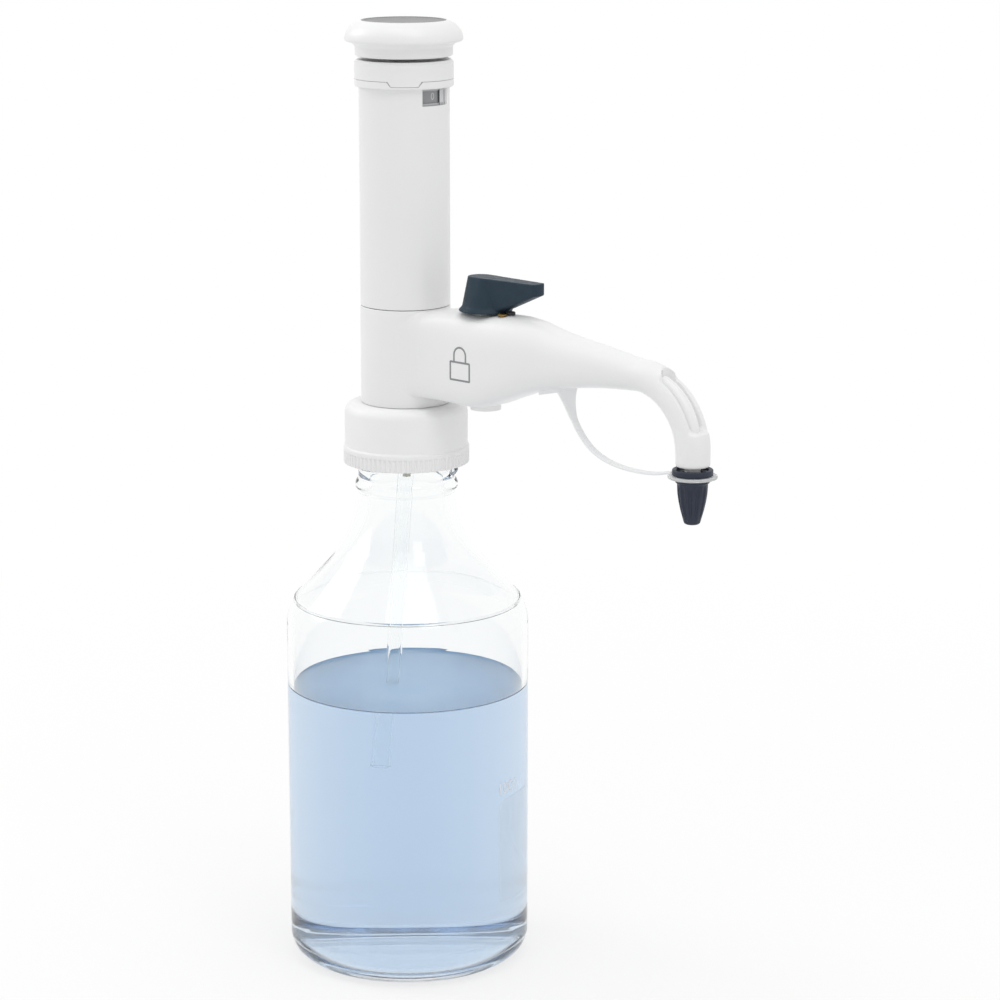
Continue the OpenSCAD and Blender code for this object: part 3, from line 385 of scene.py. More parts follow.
def bottle_side(body_r, round_r, fillet_r, neck_r, line_z, steps):
    """Half outline from the wall over the shoulder and the cone up to the neck."""
    a = CONE
    fillet_x = neck_r + fillet_r
    fillet_z = line_z - (fillet_x - fillet_r * math.cos(a)) / math.tan(a) + fillet_r * math.sin(a)
    round_x = body_r - round_r
    round_z = line_z - (round_x + round_r * math.cos(a)) / math.tan(a) - round_r * math.sin(a)
    return (arc(round_x, round_z, round_r, 0, 43, steps)
            + arc(fillet_x, fillet_z, fillet_r, 223, 180, steps))


LINE_Z = NECK_BASE - 42 * math.sin(CONE) + (20 + 42 * (1 - math.cos(CONE))) / math.tan(CONE)
INNER_LINE_Z = LINE_Z - 2.4 / math.sin(CONE)
INNER_WALL = bottle_side(48.1, 15.6, 42, 15.2, INNER_LINE_Z, 18)
FLOOR_IN = arc(35.1, 17.1, 13, -90, 0, 16)


def neck_swell(z, turn):
    """How far the neck's bead, and the thread that climbs round it, stand out at a height
    and a share of a turn."""
    bead = max(0, 1 - ((z - 203.6) / 2.9) ** 2) * 1.3
    rise = 0
    for wind in (0, 1):
        along = turn + wind
        middle = 209.0 + 5.8 * along
        fade = min(ease(along, 0.02, 0.12), 1 - ease(along, 1.68, 1.82))
        rise = max(rise, 1.4 * fade * max(0, 1 - ((z - middle) / 1.9) ** 2))
    return max(bead, rise)


def bottle():
    outer = [(0, 2.6), (14, 2.6), (28, 2.6, 6), (37, 0.25, 2), (38.8, 0.0)]
    outer += arc(40.5, 10, 10, -90, 0, 14)
    outer += [(50.5, 40), (50.5, 80), (50.5, 120)] + bottle_side(50.5, 18, 42, 20, LINE_Z, 18)
    outer += [(20, 200.6 + 0.55 * k) for k in range(45)]
    outer += [(20, 227.2, 1.2), (20.6, 228.0)] + arc(19.2, 228.6, 1.4, 0, 90, 5)
    inner = [(15.2, 230, 1), (15.2, 224)] + INNER_WALL[::-1]
    inner += [(48.1, 120), (48.1, 80), (48.1, 40)] + FLOOR_IN[::-1] + [(27, 4.9, 6), (0, 5.2)]
    bm = lathe(outer + inner, 160)
    for vert in bm.verts:
        r = math.hypot(vert.co.x, vert.co.y)
        z = vert.co.z / MM
        if r > 19.9 * MM and 200.8 < z < 226:
            turn = math.atan2(vert.co.y, vert.co.x) / math.tau % 1
            grown = (r + neck_swell(z, turn) * MM) / r
            vert.co.x *= grown
            vert.co.y *= grown
    bmesh.ops.recalc_face_normals(bm, faces=bm.faces[:])
    piece("bottle_glass_shell", bm, GLASS, "bottle", ["bottle"], 60)


LIQUID_Z = 117.9


def liquid():
    """Reagent up to its level, reaching a hair into the glass, with a meniscus at the wall."""
    over = 0.15
    wall = [(r + over, z) for r, z in FLOOR_IN]
    outline = [(0, 5.2 - over), (27, 4.9 - over, 6)] + [(wall[0][0], 4 - over)] + wall[1:]
    outline += [(48.25, 50), (48.25, 85), (48.25, LIQUID_Z + 0.9), (47.95, LIQUID_Z + 0.5),
                (47.4, LIQUID_Z + 0.2), (46.4, LIQUID_Z + 0.05), (44, LIQUID_Z),
                (40, LIQUID_Z), (20, LIQUID_Z), (0, LIQUID_Z)]
    obj = piece("reagent", lathe(outline, 160), WATER, "bottle", sharp=60)
    obj.data.materials.append(WATER_FACE)
    for face in obj.data.polygons:
        if face.center.z > (LIQUID_Z - 0.5) * MM:
            face.material_index = 1


def seam_line():
    """The faint ridge that the mould's joint leaves round the shoulder."""
    r, z = next(p for p in bottle_side(50.5, 18, 42, 20, LINE_Z, 60) if p[1] > 155)
    outline = [(r, z + 0.7), (r - 0.4, z + 0.6), (r - 0.4, z - 0.6), (r + 0.06, z - 0.7),
               (r + 0.12, z)]
    piece("mould_seam", lathe(outline, 160, closed=True), GLASS, "bottle")


def feed_tube():
    """The long intake tube, which leans away from the spout down to the bottle's floor."""
    length, r, bore = 129, 3.2, 2.3
    outline = [(r, 0, 0.15), (r, -length, 0.15), (bore, -length, 0.15), (bore, 0, 0.15)]
    bm = lathe(outline, 40, closed=True)
    heading = Matrix.Rotation(math.radians(222.8), 4, "Z")
    lean = heading @ Matrix.Rotation(math.radians(-3.9), 4, "Y")
    top = Matrix.Translation((0, 0, 213.45 * MM))
    bmesh.ops.transform(bm, matrix=top @ lean, verts=bm.verts[:])
    piece("intake_tube", bm, TUBE, "head", ["feed_tube"])


# ------------------------------------------------------------ screw collar

def screw_collar():
    """The screw collar with its band of fine grip teeth at the foot."""
    teeth, each = 76, 8
    outline = [(22.8, COLLAR_BASE, 0.3), (25.6, COLLAR_BASE, 0.35), (25.6, COLLAR_BASE + 4.6),
               (25.6, COLLAR_BASE + 5.0), (26, COLLAR_BASE + 5.3), (26, COLLAR_BASE + 7, 0.5),
               (25.4, COLLAR_BASE + 7.5, 0.3), (25.4, COLLAR_TOP, 4),
               (17.9, COLLAR_TOP, 0.1), (17.8, COLLAR_TOP + 0.2, 0.05),
               (11.9, COLLAR_TOP + 0.2, 0.3), (11.9, COLLAR_TOP - 4.3, 0.3),
               (22.8, COLLAR_TOP - 4.3, 0.5)]
    bm = lathe(outline, teeth * each, closed=True)
    for vert in bm.verts:
        r = math.hypot(vert.co.x, vert.co.y) / MM
        z = vert.co.z / MM
        if r > 25.1 and z < COLLAR_BASE + 5.1:
            share = math.atan2(vert.co.y, vert.co.x) / math.tau * teeth % 1
            tip = ease(share, 0.3, 0.5) - ease(share, 0.8, 1.0)
            grown = (r - 0.1 + 0.5 * tip) / r
            vert.co.x *= grown
            vert.co.y *= grown
    piece("ribbed_collar", bm, COLLAR, "collar", ["screw_collar"], 50)


# ------------------------------------------------------------ head and arm

# Distance along X, top and bottom over the head's base, half width, squareness of the section
ARM = [(0, 39.8, 4.3, 12.3, 5), (19, 39.85, 4.3, 12.3, 5), (30, 41.2, 4.3, 12.4, 4.6),
       (48, 41.6, 4.0, 12.5, 3.8), (63, 42.3, 9.0, 12.0, 3.1), (74, 41.5, 13.0, 10.8, 2.85),
       (84, 39.3, 15.6, 9.55, 2.65), (96, 37.4, 17.7, 8.35, 2.45), (110, 35.6, 19.4, 7.15, 2.3),
       (126, 33.2, 20.4, 6.3, 2.1)]


def arm_at(x):
    """Top, bottom, half width and squareness of the arm at a distance along X."""
    i = max(k for k in range(len(ARM) - 1) if ARM[k][0] <= x)
    four = [ARM[min(len(ARM) - 1, max(0, i + k))] for k in (-1, 0, 1, 2)]
    low, high = 0.0, 1.0
    for _ in range(24):
        t = (low + high) / 2
        if smooth(*(p[0] for p in four), t) < x:
            low = t
        else:
            high = t
    return [smooth(*(p[k] for p in four), t) for k in (1, 2, 3, 4)]


SIDES = 112


def round_way(k):
    """Angle of a section's point k, set closer together where the slot's edges run."""
    t = math.tau * k / SIDES
    return t + 0.16 * math.sin(2 * t) * (1 if t < math.pi else 0)


def section(x, z, slope, depth, width, square, k):
    """Point k of a rounded section across the arm's way."""
    t = round_way(k)
    c, s = math.cos(t), math.sin(t)
    square = 2 + (square - 2) * (0.72 if s > 0 else 1.35)
    across = width * math.copysign(abs(c) ** (2 / square), c)
    up = depth * math.copysign(abs(s) ** (2 / square), s)
    return x - up * math.sin(slope), across, z + up * math.cos(slope)


def arm_stations():
    """Each station's kind and place: out of the column, along the arm, round the bend."""
    out = [("ring", HEAD_R - 0.3 + 0.3 * k) for k in range(1, 20)]
    out += [("ring", x) for x in (25, 27, 29.5, 32)]
    out += [("arm", 34 + 2 * k) for k in range(46)]
    out += [("bend", 90 * k / 66) for k in range(1, 67)]
    out += [("end", HEAD_BASE - 238.35 + d) for d in (0.6, 1.7, 2.8, 3.7, 4.2, 4.5, 4.7)]
    return out


def slot_depth(angle, across, over):
    """How deep the open slot is cut at an angle over the bend, a place across it and a
    distance from the bend's centre: the rim is planed down, and the slot goes in there."""
    middle = min(60, max(22.5, angle))
    off = (angle - middle) * math.radians(1) * 33.5
    plane = max(0, over - 30.3) * (1 - ease(abs(angle - 39), 21.5, 25.5))
    deep = 5.6 - 2.2 * ease(angle, 54, 66)
    return max(plane, deep * (1 - ease(math.hypot(off, across) / 4.1, 0.84, 1.08)))


ROOT_ROUND = 13.4
ROOT_REACH = HEAD_R + ROOT_ROUND
ROOT_LEAN = math.asin((ROOT_ROUND + 12.3) / ROOT_REACH)
ROOT_END = math.hypot(ROOT_REACH * math.cos(ROOT_LEAN), 12.3)


def arm_point(kind, place, k):
    """Point k of the station of a kind at a place along the arm, the bend or the nozzle."""
    bx, bz, br = BEND
    if kind in ("ring", "arm"):
        top, low, half, square = arm_at(place)
        # the hollow round of the root, where the arm runs out of the column
        if place < ROOT_END:
            turn = (place * place + ROOT_REACH ** 2 - ROOT_ROUND ** 2) / (2 * place * ROOT_REACH)
            half = place * math.sin(ROOT_LEAN - math.acos(min(1, turn)))
        x, y, z = section(place, HEAD_BASE + (top + low) / 2, 0, (top - low) / 2, half, square, k)
        if kind == "ring":
            coil = math.sqrt(max(0, place * place - y * y))
            x = coil + (place - coil) * ease(place, 22, 36)
        return x, y, z
    if kind == "bend":
        a = math.radians(place)
        f = place / 90
        fat = 6.3 + 0.7 * math.sin(math.pi * f) if f < 0.5 else 7 - 0.3 * (2 * f - 1)
        wide = 6.3 + 0.4 * min(1, 2 * f)
        x, y, z = section(bx + br * math.sin(a), bz + br * math.cos(a), -a, fat, wide, 2.05, k)
        over = math.hypot(x - bx, z - bz)
        cut = slot_depth(90 - place, y, over) if math.sin(round_way(k)) > 0 else 0
        keep = (over - cut) / over if over > br else 1
        return bx + (x - bx) * keep, y, bz + (z - bz) * keep
    trim = max(0, place - HEAD_BASE + 238.35 - 3.7)
    r = 6.7 - 0.5 * trim * trim
    t = round_way(k)
    return NOZZLE_X + r * math.sin(t), r * math.cos(t), 238.35 - place


def head():
    """The arm and its bend as one skin, and the column. Returns the arm's surface."""
    stations = arm_stations()
    bm = sheet_grid(len(stations) - 1, SIDES, lambda i, k: arm_point(*stations[i], k))
    shape = BVHTree.FromBMesh(bm)
    piece("spout_arm", bm, WHITE, "head", sharp=50)
    outline = [(12.45, HEAD_BASE, 0.3), (HEAD_R, HEAD_BASE, 0.25), (HEAD_R, HEAD_TOP, 0.4),
               (17, HEAD_TOP, 0.3), (17, HEAD_BASE + 2.4, 0.3), (12.45, HEAD_BASE + 2.4, 0.2)]
    piece("head_column", lathe(outline, 128, closed=True), WHITE, "head", ["head_housing"])
    return shape


def discharge_tube():
    """The outlet tube, which shows through the bend's slot and ends under the nozzle."""
    r, bore = 3.1, 1.8
    cx, cz, turn = 129, 241.35, 24
    path = [(72 + 4 * k, DUCT_Z + 0.6 + 6.9 * k / 13.5) for k in range(14)]
    path += [(cx + turn * math.sin(math.radians(a)), cz + turn * math.cos(math.radians(a)))
             for a in range(0, 91, 6)]
    path += [(NOZZLE_X, 238), (NOZZLE_X, 232), (NOZZLE_X, 226.6)]
    end = len(path) - 1
    around = 32

    def place(i, k):
        inner = i > end
        j = 2 * end + 1 - i if inner else i
        before, after = path[max(0, j - 1)], path[min(end, j + 1)]
        way = Vector((after[0] - before[0], after[1] - before[1])).normalized()
        t = math.tau * k / around
        out = (bore if inner else r) * math.sin(t)
        return (path[j][0] - out * way.y, (bore if inner else r) * math.cos(t),
                path[j][1] + out * way.x)

    bm = sheet_grid(2 * end + 1, around, place, ends=False)
    rims = [e for e in bm.edges if e.is_boundary]
    bmesh.ops.bridge_loops(bm, edges=rims)
    bmesh.ops.recalc_face_normals(bm, faces=bm.faces[:])
    piece("outlet_tube", bm, MILKY, "head", ["discharge_tube"])


# ----------------------------------------------------------------- plunger

def sleeve():
    """The long sleeve, with its reading window cut in the top edge."""
    wall = 1.2
    bm = bmesh.new()
    bmesh.ops.create_cone(bm, cap_ends=False, segments=180, radius1=SLEEVE_R * MM,
                          radius2=SLEEVE_R * MM, depth=(SLEEVE_TOP - SLEEVE_BASE) * MM)
    bmesh.ops.translate(bm, verts=bm.verts[:], vec=(0, 0, (SLEEVE_TOP + SLEEVE_BASE) / 2 * MM))
    for z in (SLEEVE_BASE + 0.4, SLEEVE_TOP - 6.9):
        bmesh.ops.bisect_plane(bm, geom=bm.verts[:] + bm.edges[:] + bm.faces[:],
                               plane_co=(0, 0, z * MM), plane_no=(0, 0, 1))
    gone = [f for f in bm.faces if f.calc_center_median().z > (SLEEVE_TOP - 6.9) * MM
            and -23 < math.degrees(math.atan2(f.calc_center_median().y,
                                              f.calc_center_median().x)) < 25]
    bmesh.ops.delete(bm, geom=gone, context="FACES")
    bmesh.ops.recalc_face_normals(bm, faces=bm.faces[:])
    bmesh.ops.solidify(bm, geom=bm.faces[:], thickness=wall * MM)
    bmesh.ops.recalc_face_normals(bm, faces=bm.faces[:])
    obj = piece("outer_sleeve", bm, WHITE, "plunger", ["sleeve"])
    soften(obj, 0.22)


def soften(obj, width, angle=40, segments=3):
    """Soft edges by a bevel that follows the piece's sharp ones."""
    bevel = obj.modifiers.new("soft_edges", "BEVEL")
    bevel.width = width * MM
    bevel.segments = segments
    bevel.limit_method = "ANGLE"
    bevel.angle_limit = math.radians(angle)
    bevel.harden_normals = True


def knob():
    """The domed knob with its skirt, and the grey disc let into its top."""
    base = KNOB_BASE
    dome = [(19.2, base, 0.4), (19.8, base + 0.7), (19.8, base + 3.9, 0.4),
            (20.6, base + 4.85, 0.5), (22.1, base + 5.65, 0.5),
            (23.4, base + 5.95, 0.3), (24, base + 6.5, 0.4), (24, base + 7.1, 0.3)]
    dome += [(17.3 + 6.65 * math.sin(math.radians(t)) ** 1.4,
              base + 7.2 + 7.15 * math.cos(math.radians(t)))
             for t in (84, 76, 68, 60, 52, 44, 36, 28, 20, 13)]
    dome += [(17.5, KNOB_TOP - 0.02), (17.24, KNOB_TOP - 0.1), (17.22, KNOB_TOP - 1.6),
             (0, KNOB_TOP - 1.6)]
    under = [(0, base + 5.5), (17.6, base + 5.5, 0.6), (18, base, 0.3)]
    piece("domed_knob", lathe(under + dome, 160),
          WHITE, "knob", ["knob"], 40)
    disc = [(0, KNOB_TOP - 1.58), (17.2, KNOB_TOP - 1.58), (17.2, KNOB_TOP - 0.02, 0.25),
            (16.1, KNOB_TOP - 0.05, 0.2), (15.9, KNOB_TOP - 0.3, 0.2), (0, KNOB_TOP - 0.3)]
    piece("knob_inlay", lathe(disc, 160), GREY_DISC, "knob", ["knob_disc"])


# ------------------------------------------------------------------- lever

def lever():
    """Hub and finger as solids that are fused and rounded by a fine remesh."""
    bm = bmesh.new()

    def solid(rings):
        part = bmesh.new()
        for x, z, r, deep in rings:
            made = bmesh.ops.create_circle(part, segments=48, radius=r * MM)
            bmesh.ops.scale(part, verts=made["verts"], vec=(1, deep, 1))
            bmesh.ops.translate(part, verts=made["verts"], vec=(x * MM, 0, z * MM))
        bmesh.ops.convex_hull(part, input=part.verts[:])
        loose = [v for v in part.verts if not v.link_faces]
        bmesh.ops.delete(part, geom=loose, context="VERTS")
        mesh = bpy.data.meshes.new("part")
        part.to_mesh(mesh)
        part.free()
        bm.from_mesh(mesh)
        bpy.data.meshes.remove(mesh)

    base = LEVER_BASE
    solid([(LEVER_X, base + 0.3, 10.6, 1), (LEVER_X, base + 0.9, 10.95, 1)])
    solid([(LEVER_X, base + 0.8, 10.95, 1), (LEVER_X, base + 2.5, 9.4, 1)])
    solid([(LEVER_X, base + 2.0, 9.6, 1), (42.2, LEVER_TOP + 0.12, 5.1, 1),
           (46, LEVER_TOP + 0.12, 5.1, 1)])
    solid([(49.6, base + 0.6, 5, 1), (LEVER_X, LEVER_TOP + 0.12, 5, 1),
           (73, LEVER_TOP + 0.12, 1.4, 2.5), (73, LEVER_TOP - 4.6, 1.4, 2.5)])
    obj = piece("lever_moulding", bm, SLATE, "lever", ["lever"], 180)
    fuse = obj.modifiers.new("fuse", "REMESH")
    fuse.mode = "VOXEL"
    fuse.voxel_size = 0.28 * MM
    fuse.use_smooth_shade = True
    ease_off = obj.modifiers.new("ease", "SMOOTH")
    ease_off.factor = 0.5
    ease_off.iterations = 8


# ----------------------------------------------------------- discharge cap

def discharge_cap():
    """The small fluted cap that closes the nozzle, with four notches in its flange."""
    low = CAP_TOP - 21.6
    outline = [(0, low), (3.0, low, 0.9), (3.6, low + 2.2), (4.6, low + 5.8), (5.3, low + 9),
               (5.75, low + 12), (5.9, low + 14.6), (5.95, low + 16.1, 0.3), (6.7, low + 16.5, 0.3),
               (6.75, low + 17.9, 0.2), (5.95, low + 18, 0.1), (5.95, CAP_TOP - 2.4, 0.1),
               (7.9, CAP_TOP - 2.4, 0.4), (7.9, CAP_TOP, 0.5), (7.35, CAP_TOP), (7.3, CAP_TOP),
               (6.2, CAP_TOP, 0.3),
               (6.1, CAP_TOP - 1.2, 0.2), (4.0, CAP_TOP - 1.3, 0.2), (4.0, low + 8), (0, low + 2.2)]
    bm = lathe(outline, 192, at=(0, 0))
    upright = [e for e in bm.edges if abs(e.verts[0].co.z - e.verts[1].co.z) > 1.4 * MM
               and e.calc_length() < 5 * MM]
    bmesh.ops.subdivide_edges(bm, edges=upright, cuts=3, use_grid_fill=True)
    for vert in bm.verts:
        r = math.hypot(vert.co.x, vert.co.y) / MM
        z = vert.co.z / MM - low
        if 1.0 < z < 15.8 and r > 2.9:
            share = math.atan2(vert.co.y, vert.co.x) / math.tau * 12 % 1
            rib = ease(abs(share - 0.5) * 2, 0.35, 0.75)
            deep = 0.5 * ease(z, 1.2, 5) * (1 - ease(z, 14.2, 15.4))
            grown = (r - deep * rib) / r
            vert.co.x *= grown
            vert.co.y *= grown
        # four notches in the flange
        turn = (math.degrees(math.atan2(vert.co.y, vert.co.x)) + 105) % 90
        if 6.0 < r < 7.33 and z > 21 and min(turn, 90 - turn) < 10:
            vert.co.z -= 1.3 * MM
    bmesh.ops.translate(bm, verts=bm.verts[:], vec=(NOZZLE_X * MM, 0, 0))
    piece("fluted_cap", bm, CAP_SLATE, "cap", ["discharge_cap"], 45)


def catch_screw():
    """The small brass screw under the finger, slotted, in brass darkened as painted shade, beside a
    small black disc that is painted shadow under the lever's skirt.
    """
    x, y, z = LEVER_X + 12.6, -3.8, LEVER_BASE
    shape = [(0, z - 5.9), (1.2, z - 5.9), (1.2, z + 0.2), (2, z + 0.2, 0.1), (2, z + 0.9, 0.3),
             (0, z + 1)]
    bm = lathe(shape, 40)
    for vert in bm.verts:
        if vert.co.z > (z + 0.9) * MM and abs(vert.co.y) < 0.35 * MM:
            vert.co.z -= 0.4 * MM
    bmesh.ops.translate(bm, verts=bm.verts[:], vec=(x * MM, y * MM, 0))
    piece("catch_screw_head", bm, SHADED_BRASS, "head", ["catch_screw"])
    # a black disc beside the screw: painted shadow under the lever's skirt
    shadow_disc = [(0, z - 0.6), (1.9, z - 0.6, 0.2), (1.9, z + 1.5, 0.5), (0, z + 1.5)]
    piece("painted_skirt_shadow", lathe(shadow_disc, 40, at=(x + 1.04, y + 3.74)), SKIRT_SHADOW_BLACK, "head")


# Side view of the strap, from under the arm to its ring, and where the ring begins
RING_X = 143.4
STRAP_PATH = [(88.8, 254.3), (89.8, 250.3), (92.3, 243.7), (97, 237.1), (103, 232.1), (111, 228.9),
              (121, 227.4), (133, 227.5), (142.4, 229.25), (144.6, 229.25)]


def strap():
    """The soft strap, wide at its root, and the ring that it holds the cap by."""
    steps = 15
    last = len(STRAP_PATH) - 1
    line = []
    for i in range(last):
        four = [STRAP_PATH[min(last, max(0, i + k))] for k in (-1, 0, 1, 2)]
        line += [tuple(smooth(*(p[j] for p in four), t / steps) for j in (0, 1))
                 for t in range(steps)]
    line.append(STRAP_PATH[-1])
    end = len(line) - 1

    def place(i, k):
        before, after = line[max(0, i - 1)], line[min(end, i + 1)]
        way = Vector((after[0] - before[0], after[1] - before[1])).normalized()
        f = i / end
        half = (3.3 + 8.7 * max(0, 1 - f / 0.24) ** 1.2) / 2
        t = math.tau * k / 24
        across = half * math.copysign(abs(math.cos(t)) ** 0.35, math.cos(t))
        out = 0.55 * math.copysign(abs(math.sin(t)) ** 0.5, math.sin(t))
        return line[i][0] + out * way.y, across, line[i][1] - out * way.x

    bm = sheet_grid(end, 24, place)
    band = [(6.05, 228.7, 0.25), (9.6, 228.7, 0.4), (9.6, 229.8, 0.4), (6.05, 229.8, 0.25)]
    ring = lathe(band, 96, closed=True, at=(NOZZLE_X, 0))
    mesh = bpy.data.meshes.new("ring")
    ring.to_mesh(mesh)
    ring.free()
    bm.from_mesh(mesh)
    bpy.data.meshes.remove(mesh)
    obj = piece("strap_and_ring", bm, STRAP, None, ["cap_strap"], 50)
    obj.data.materials.append(STRAP_RING)
    for face in obj.data.polygons:
        if face.center.x > RING_X * MM:
            face.material_index = 1
    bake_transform(obj)


# ---------------------------------------------------------------- printing

def flat_text(words, height, thick):
    """Figures as a thin mesh in the XY plane, centred, height mm tall."""
    curve = bpy.data.curves.new("figures", "FONT")
    curve.body = words
    curve.align_x, curve.align_y = "CENTER", "CENTER"
    curve.size = height * 1.38 * MM
    curve.extrude = thick / 2 * MM
    holder = bpy.data.objects.new("figures", curve)
    bpy.context.scene.collection.objects.link(holder)
    shown = bpy.context.evaluated_depsgraph_get()
    mesh = bpy.data.meshes.new_from_object(holder.evaluated_get(shown))
    bm = bmesh.new()
    bm.from_mesh(mesh)
    bpy.data.objects.remove(holder)
    bpy.data.curves.remove(curve)
    bpy.data.meshes.remove(mesh)
    return bm


def wrap(bm, r, azimuth, z):
    """A flat mesh bent round the axis: X runs along the curve, Y upwards, Z outwards."""
    for vert in bm.verts:
        out = r * MM + vert.co.z
        turn = math.radians(azimuth) + vert.co.x / (r * MM)
        vert.co = (out * math.cos(turn), out * math.sin(turn), z * MM + vert.co.y)
    return bm


def frame_shape(width, height, corner, line, thick, steps=5):
    """A rounded rectangle's outline, line mm wide and thick mm thick, in the XY plane."""
    bm = bmesh.new()
    bmesh.ops.create_grid(bm, x_segments=1, y_segments=1, size=0.5 * MM)
    bmesh.ops.scale(bm, verts=bm.verts[:], vec=(width, height, 1))
    bmesh.ops.bevel(bm, geom=bm.verts[:], offset=corner * MM, offset_type="OFFSET", segments=steps,
                    profile=0.5, affect="VERTICES", material=-1)
    if line:
        inner = bmesh.ops.inset_region(bm, faces=bm.faces[:], thickness=line * MM,
                                       use_even_offset=True, use_boundary=True)
        middle = [f for f in bm.faces if f not in inner["faces"]]
        bmesh.ops.delete(bm, geom=middle, context="FACES")
    return thicken(bm, thick)


def thicken(bm, thick):
    """A flat mesh in the XY plane made thick mm thick."""
    made = bmesh.ops.extrude_face_region(bm, geom=bm.faces[:])
    moved = [v for v in made["geom"] if isinstance(v, bmesh.types.BMVert)]
    bmesh.ops.translate(bm, verts=moved, vec=(0, 0, thick * MM))
    bmesh.ops.recalc_face_normals(bm, faces=bm.faces[:])
    return bm


def joined(*parts):
    """Several meshes as one. The parts are used up."""
    whole = bmesh.new()
    for part in parts:
        mesh = bpy.data.meshes.new("part")
        part.to_mesh(mesh)
        part.free()
        whole.from_mesh(mesh)
        bpy.data.meshes.remove(mesh)
    return whole


def lock_sign(surface):
    """A padlock's outline printed on the arm's flank, laid down on the surface."""
    body = frame_shape(11.2, 8.0, 0.6, 0.75, 0.05)
    long = [e for e in body.edges if e.calc_length() > 2 * MM]
    bmesh.ops.subdivide_edges(body, edges=long, cuts=6)
    bow = bmesh.new()
    bmesh.ops.create_circle(bow, segments=48, radius=2.8 * MM)
    bmesh.ops.delete(bow, geom=[v for v in bow.verts if v.co.y < -0.01 * MM], context="VERTS")
    ends = [v for v in bow.verts if len(v.link_edges) == 1]
    for end in ends:
        foot = bow.verts.new((end.co.x, -2.6 * MM, 0))
        bow.edges.new((end, foot))
    made = bmesh.ops.extrude_edge_only(bow, edges=bow.edges[:])
    outer = {v for v in made["geom"] if isinstance(v, bmesh.types.BMVert)}
    for vert in outer:
        if vert.co.y >= 0:
            vert.co *= 3.55 / 2.8
        else:
            vert.co.x *= 3.55 / 2.8
    bmesh.ops.translate(bow, verts=bow.verts[:], vec=(0, 6.5 * MM, 0))
    sign = joined(body, thicken(bow, 0.05))
    for vert in sign.verts:
        x, z, out = (LEVER_X - 2.6) * MM + vert.co.x, 257.6 * MM + vert.co.y, vert.co.z
        hit = surface.ray_cast(Vector((x, -0.1, z)), Vector((0, 1, 0)))[0]
        vert.co = (x, hit.y - out - 0.02 * MM, z)
    bmesh.ops.recalc_face_normals(sign, faces=sign.faces[:])
    piece("lock_sign", sign, PRINT, "head")


def digits():
    """Figures round the drum, one for each tenth of a turn."""
    parts = []
    for count in range(10):
        figure = flat_text(str(count), 2.9, 0.04)
        parts.append(wrap(figure, DRUM_R + 0.02, -36 * count - 2.5, 364.6))
    piece("drum_figures", joined(*parts), FIGURE, "knob")


def window_frame():
    """Grey frame let in behind the sleeve's window, a pale blank beside the figures and a
    slim dark strip between them, which is painted shadow of the gap there."""

    def plate(name, finish, width, line, azimuth, r):
        flat = frame_shape(width, 6.8, 0.1, line, 0.2)
        long = [e for e in flat.edges if e.calc_length() > 2 * MM]
        bmesh.ops.subdivide_edges(flat, edges=long, cuts=8)
        piece(name, wrap(flat, r, azimuth, SLEEVE_TOP - 3.45), finish, "plunger")

    plate("window_frame", FRAME, 14.2, 0.9, 1.2, 16.9)
    plate("window_blank", BLANK, 4.4, 0, 17.2, 16.95)
    # the slim dark strip is painted shadow of the gap between the figures and the blank
    plate("painted_gap_shadow_strip", GAP_SHADOW_GREY, 0.5, 0, 9.6, 17.0)


def bottle_print():
    """Enamel on the glass: a blank writing field and the plain figure of its volume."""
    field = frame_shape(37, 45, 4, 0, 0.06)
    long = [e for e in field.edges if e.calc_length() > 3 * MM]
    bmesh.ops.subdivide_edges(field, edges=long, cuts=14, use_grid_fill=True)
    piece("writing_field", wrap(field, 50.52, 23, 53.5), FROST, "bottle")
    figure = wrap(flat_text("1000", 5.2, 0.05), 50.54, 9, 80.5)
    piece("volume_figures", figure, ENAMEL, "bottle")


# ------------------------------------------------------------------ build

bottle()
liquid()
seam_line()
feed_tube()
screw_collar()
arm_surface = head()
discharge_tube()
sleeve()
knob()
lever()
discharge_cap()
catch_screw()
strap()
lock_sign(arm_surface)
digits()
window_frame()
bottle_print()

# Finishes of the pieces that the model brings as they are
FINISHES = {
    GREY: ["rim_gasket", "stop_ring", "drive_plate", "knob_hub"],
    WHITE: ["neck_adapter", "guard_tube", "valve_plug", "clip_ring", "head_ring"],
    STRAP: ["strap_anchor"],
    FLUORO: ["valve_block", "intake_valve", "stopcock_body", "discharge_valve", "stopcock_spindle"],
    BORE_GLASS: ["glass_cylinder"],
    SEAL: ["piston_seal", "piston_head"],
    CERAMIC: ["intake_ball", "discharge_ball"],
    STEEL: ["swivel_clip", "piston_rod", "lead_screw"],
    SHADED_BRASS: ["screw_pinion", "stop_nut"],
    DARK: ["digit_drum"],
}
for finish, names in FINISHES.items():
    for name in names:
        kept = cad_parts[name].data
        kept.materials.clear()
        kept.materials.append(finish)


# ------------------------------------------------------- floor, light, view

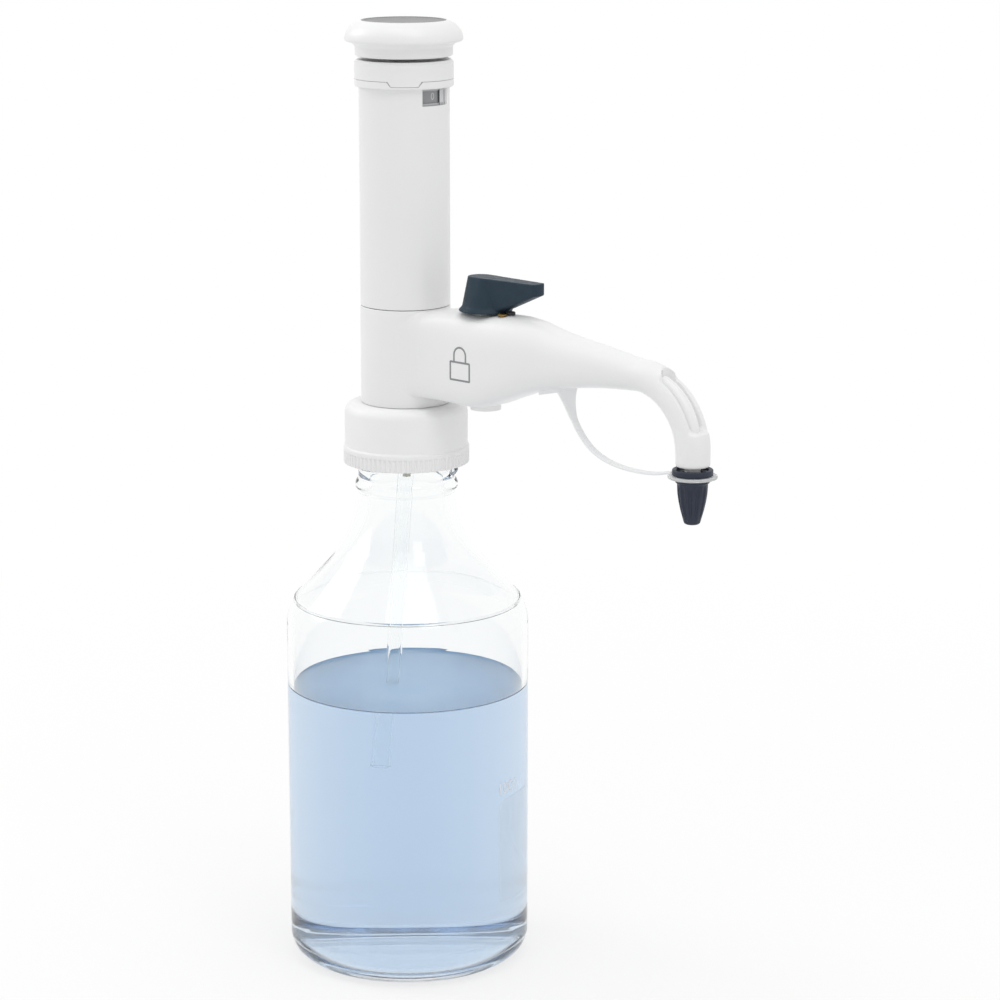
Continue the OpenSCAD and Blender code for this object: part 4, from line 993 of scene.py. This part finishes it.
def studio():
    """A pale floor and a white surround, which lenses and mirrors see as well."""
    made, tree, shader = material("pale_floor", {"Roughness": 0.9})
    shader.inputs["Base Color"].default_value = linear("#f7f7f7")
    path = add(tree, "ShaderNodeLightPath")
    seen = add(tree, "ShaderNodeMath", {0: path.outputs["Is Camera Ray"],
               1: path.outputs["Is Transmission Ray"]}, operation="MAXIMUM")
    seen = add(tree, "ShaderNodeMath", {0: seen.outputs[0], 1: path.outputs["Is Glossy Ray"]},
               operation="MAXIMUM")
    # the floor's own shading, and so the shadow, fades out away from the bottle
    place = add(tree, "ShaderNodeTexCoord")
    away = add(tree, "ShaderNodeVectorMath", {0: place.outputs["Object"]}, operation="LENGTH")
    fade = add(tree, "ShaderNodeMapRange", {"Value": away.outputs["Value"], "From Min": 0.1,
               "From Max": 0.7, "To Min": 0.75, "To Max": 1.0})
    share = add(tree, "ShaderNodeMath", {0: seen.outputs[0], 1: fade.outputs["Result"]},
                operation="MULTIPLY")
    glow = add(tree, "ShaderNodeEmission", {"Color": linear("#ffffff"), "Strength": 1.0})
    both = add(tree, "ShaderNodeMixShader", {0: share.outputs[0], 1: shader.outputs[0],
               2: glow.outputs[0]})
    tree.links.new(both.outputs[0], tree.nodes["Material Output"].inputs["Surface"])
    bm = bmesh.new()
    bmesh.ops.create_circle(bm, cap_ends=True, segments=64, radius=2.5)
    floor = piece("floor", bm, made)

    world = bpy.data.worlds.new("white_surround")
    bpy.context.scene.world = world
    world.use_nodes = True
    tree = world.node_tree
    tree.nodes.clear()
    path = add(tree, "ShaderNodeLightPath")
    seen = add(tree, "ShaderNodeMath", {0: path.outputs["Is Camera Ray"],
               1: path.outputs["Is Transmission Ray"]}, operation="MAXIMUM")
    seen = add(tree, "ShaderNodeMath", {0: seen.outputs[0], 1: path.outputs["Is Glossy Ray"]},
               operation="MAXIMUM")
    dim = add(tree, "ShaderNodeBackground", {"Color": linear("#ffffff"), "Strength": 0.715})
    bright = add(tree, "ShaderNodeBackground", {"Color": linear("#ffffff"), "Strength": 1.0})
    both = add(tree, "ShaderNodeMixShader", {0: seen.outputs[0], 1: dim.outputs[0],
               2: bright.outputs[0]})
    add(tree, "ShaderNodeOutputWorld", {"Surface": both.outputs[0]})


def softbox(name, place, aim, size, power):
    """A rectangular soft lamp at place that points at aim, power in watts."""
    lamp = bpy.data.lights.new(name, "AREA")
    lamp.shape = "RECTANGLE"
    lamp.size, lamp.size_y = size
    lamp.energy = power
    obj = bpy.data.objects.new(name, lamp)
    obj.location = place
    obj.rotation_euler = (Vector(aim) - Vector(place)).to_track_quat("-Z", "Y").to_euler()
    bpy.context.scene.collection.objects.link(obj)


studio()
softbox("key_softbox", (-1.6, -0.6, 1.3), (0.03, 0, 0.22), (1.0, 1.0), 8.5)
softbox("right_softbox", (1.3, -0.4, 1.9), (0.03, 0, 0.28), (0.6, 0.6), 4.2)
softbox("top_softbox", (0.3, -0.2, 1.9), (0.05, 0, 0.25), (1.2, 1.2), 6.5)

lens = bpy.data.cameras.new("camera")
lens.lens = 116.6
lens.sensor_width = 36
camera = bpy.data.objects.new("camera", lens)
camera.location = (0.91955, -0.93605, 0.4963)
camera.rotation_euler = (math.radians(90 - 12.884), 0, math.radians(42.8))
bpy.context.scene.collection.objects.link(camera)
bpy.context.scene.camera = camera
bpy.context.scene.view_settings.view_transform = "Standard"

# light crosses and turns in the thick glass more often than in other things
cycles = bpy.context.scene.cycles
cycles.max_bounces, cycles.glossy_bounces, cycles.transmission_bounces = 24, 12, 24
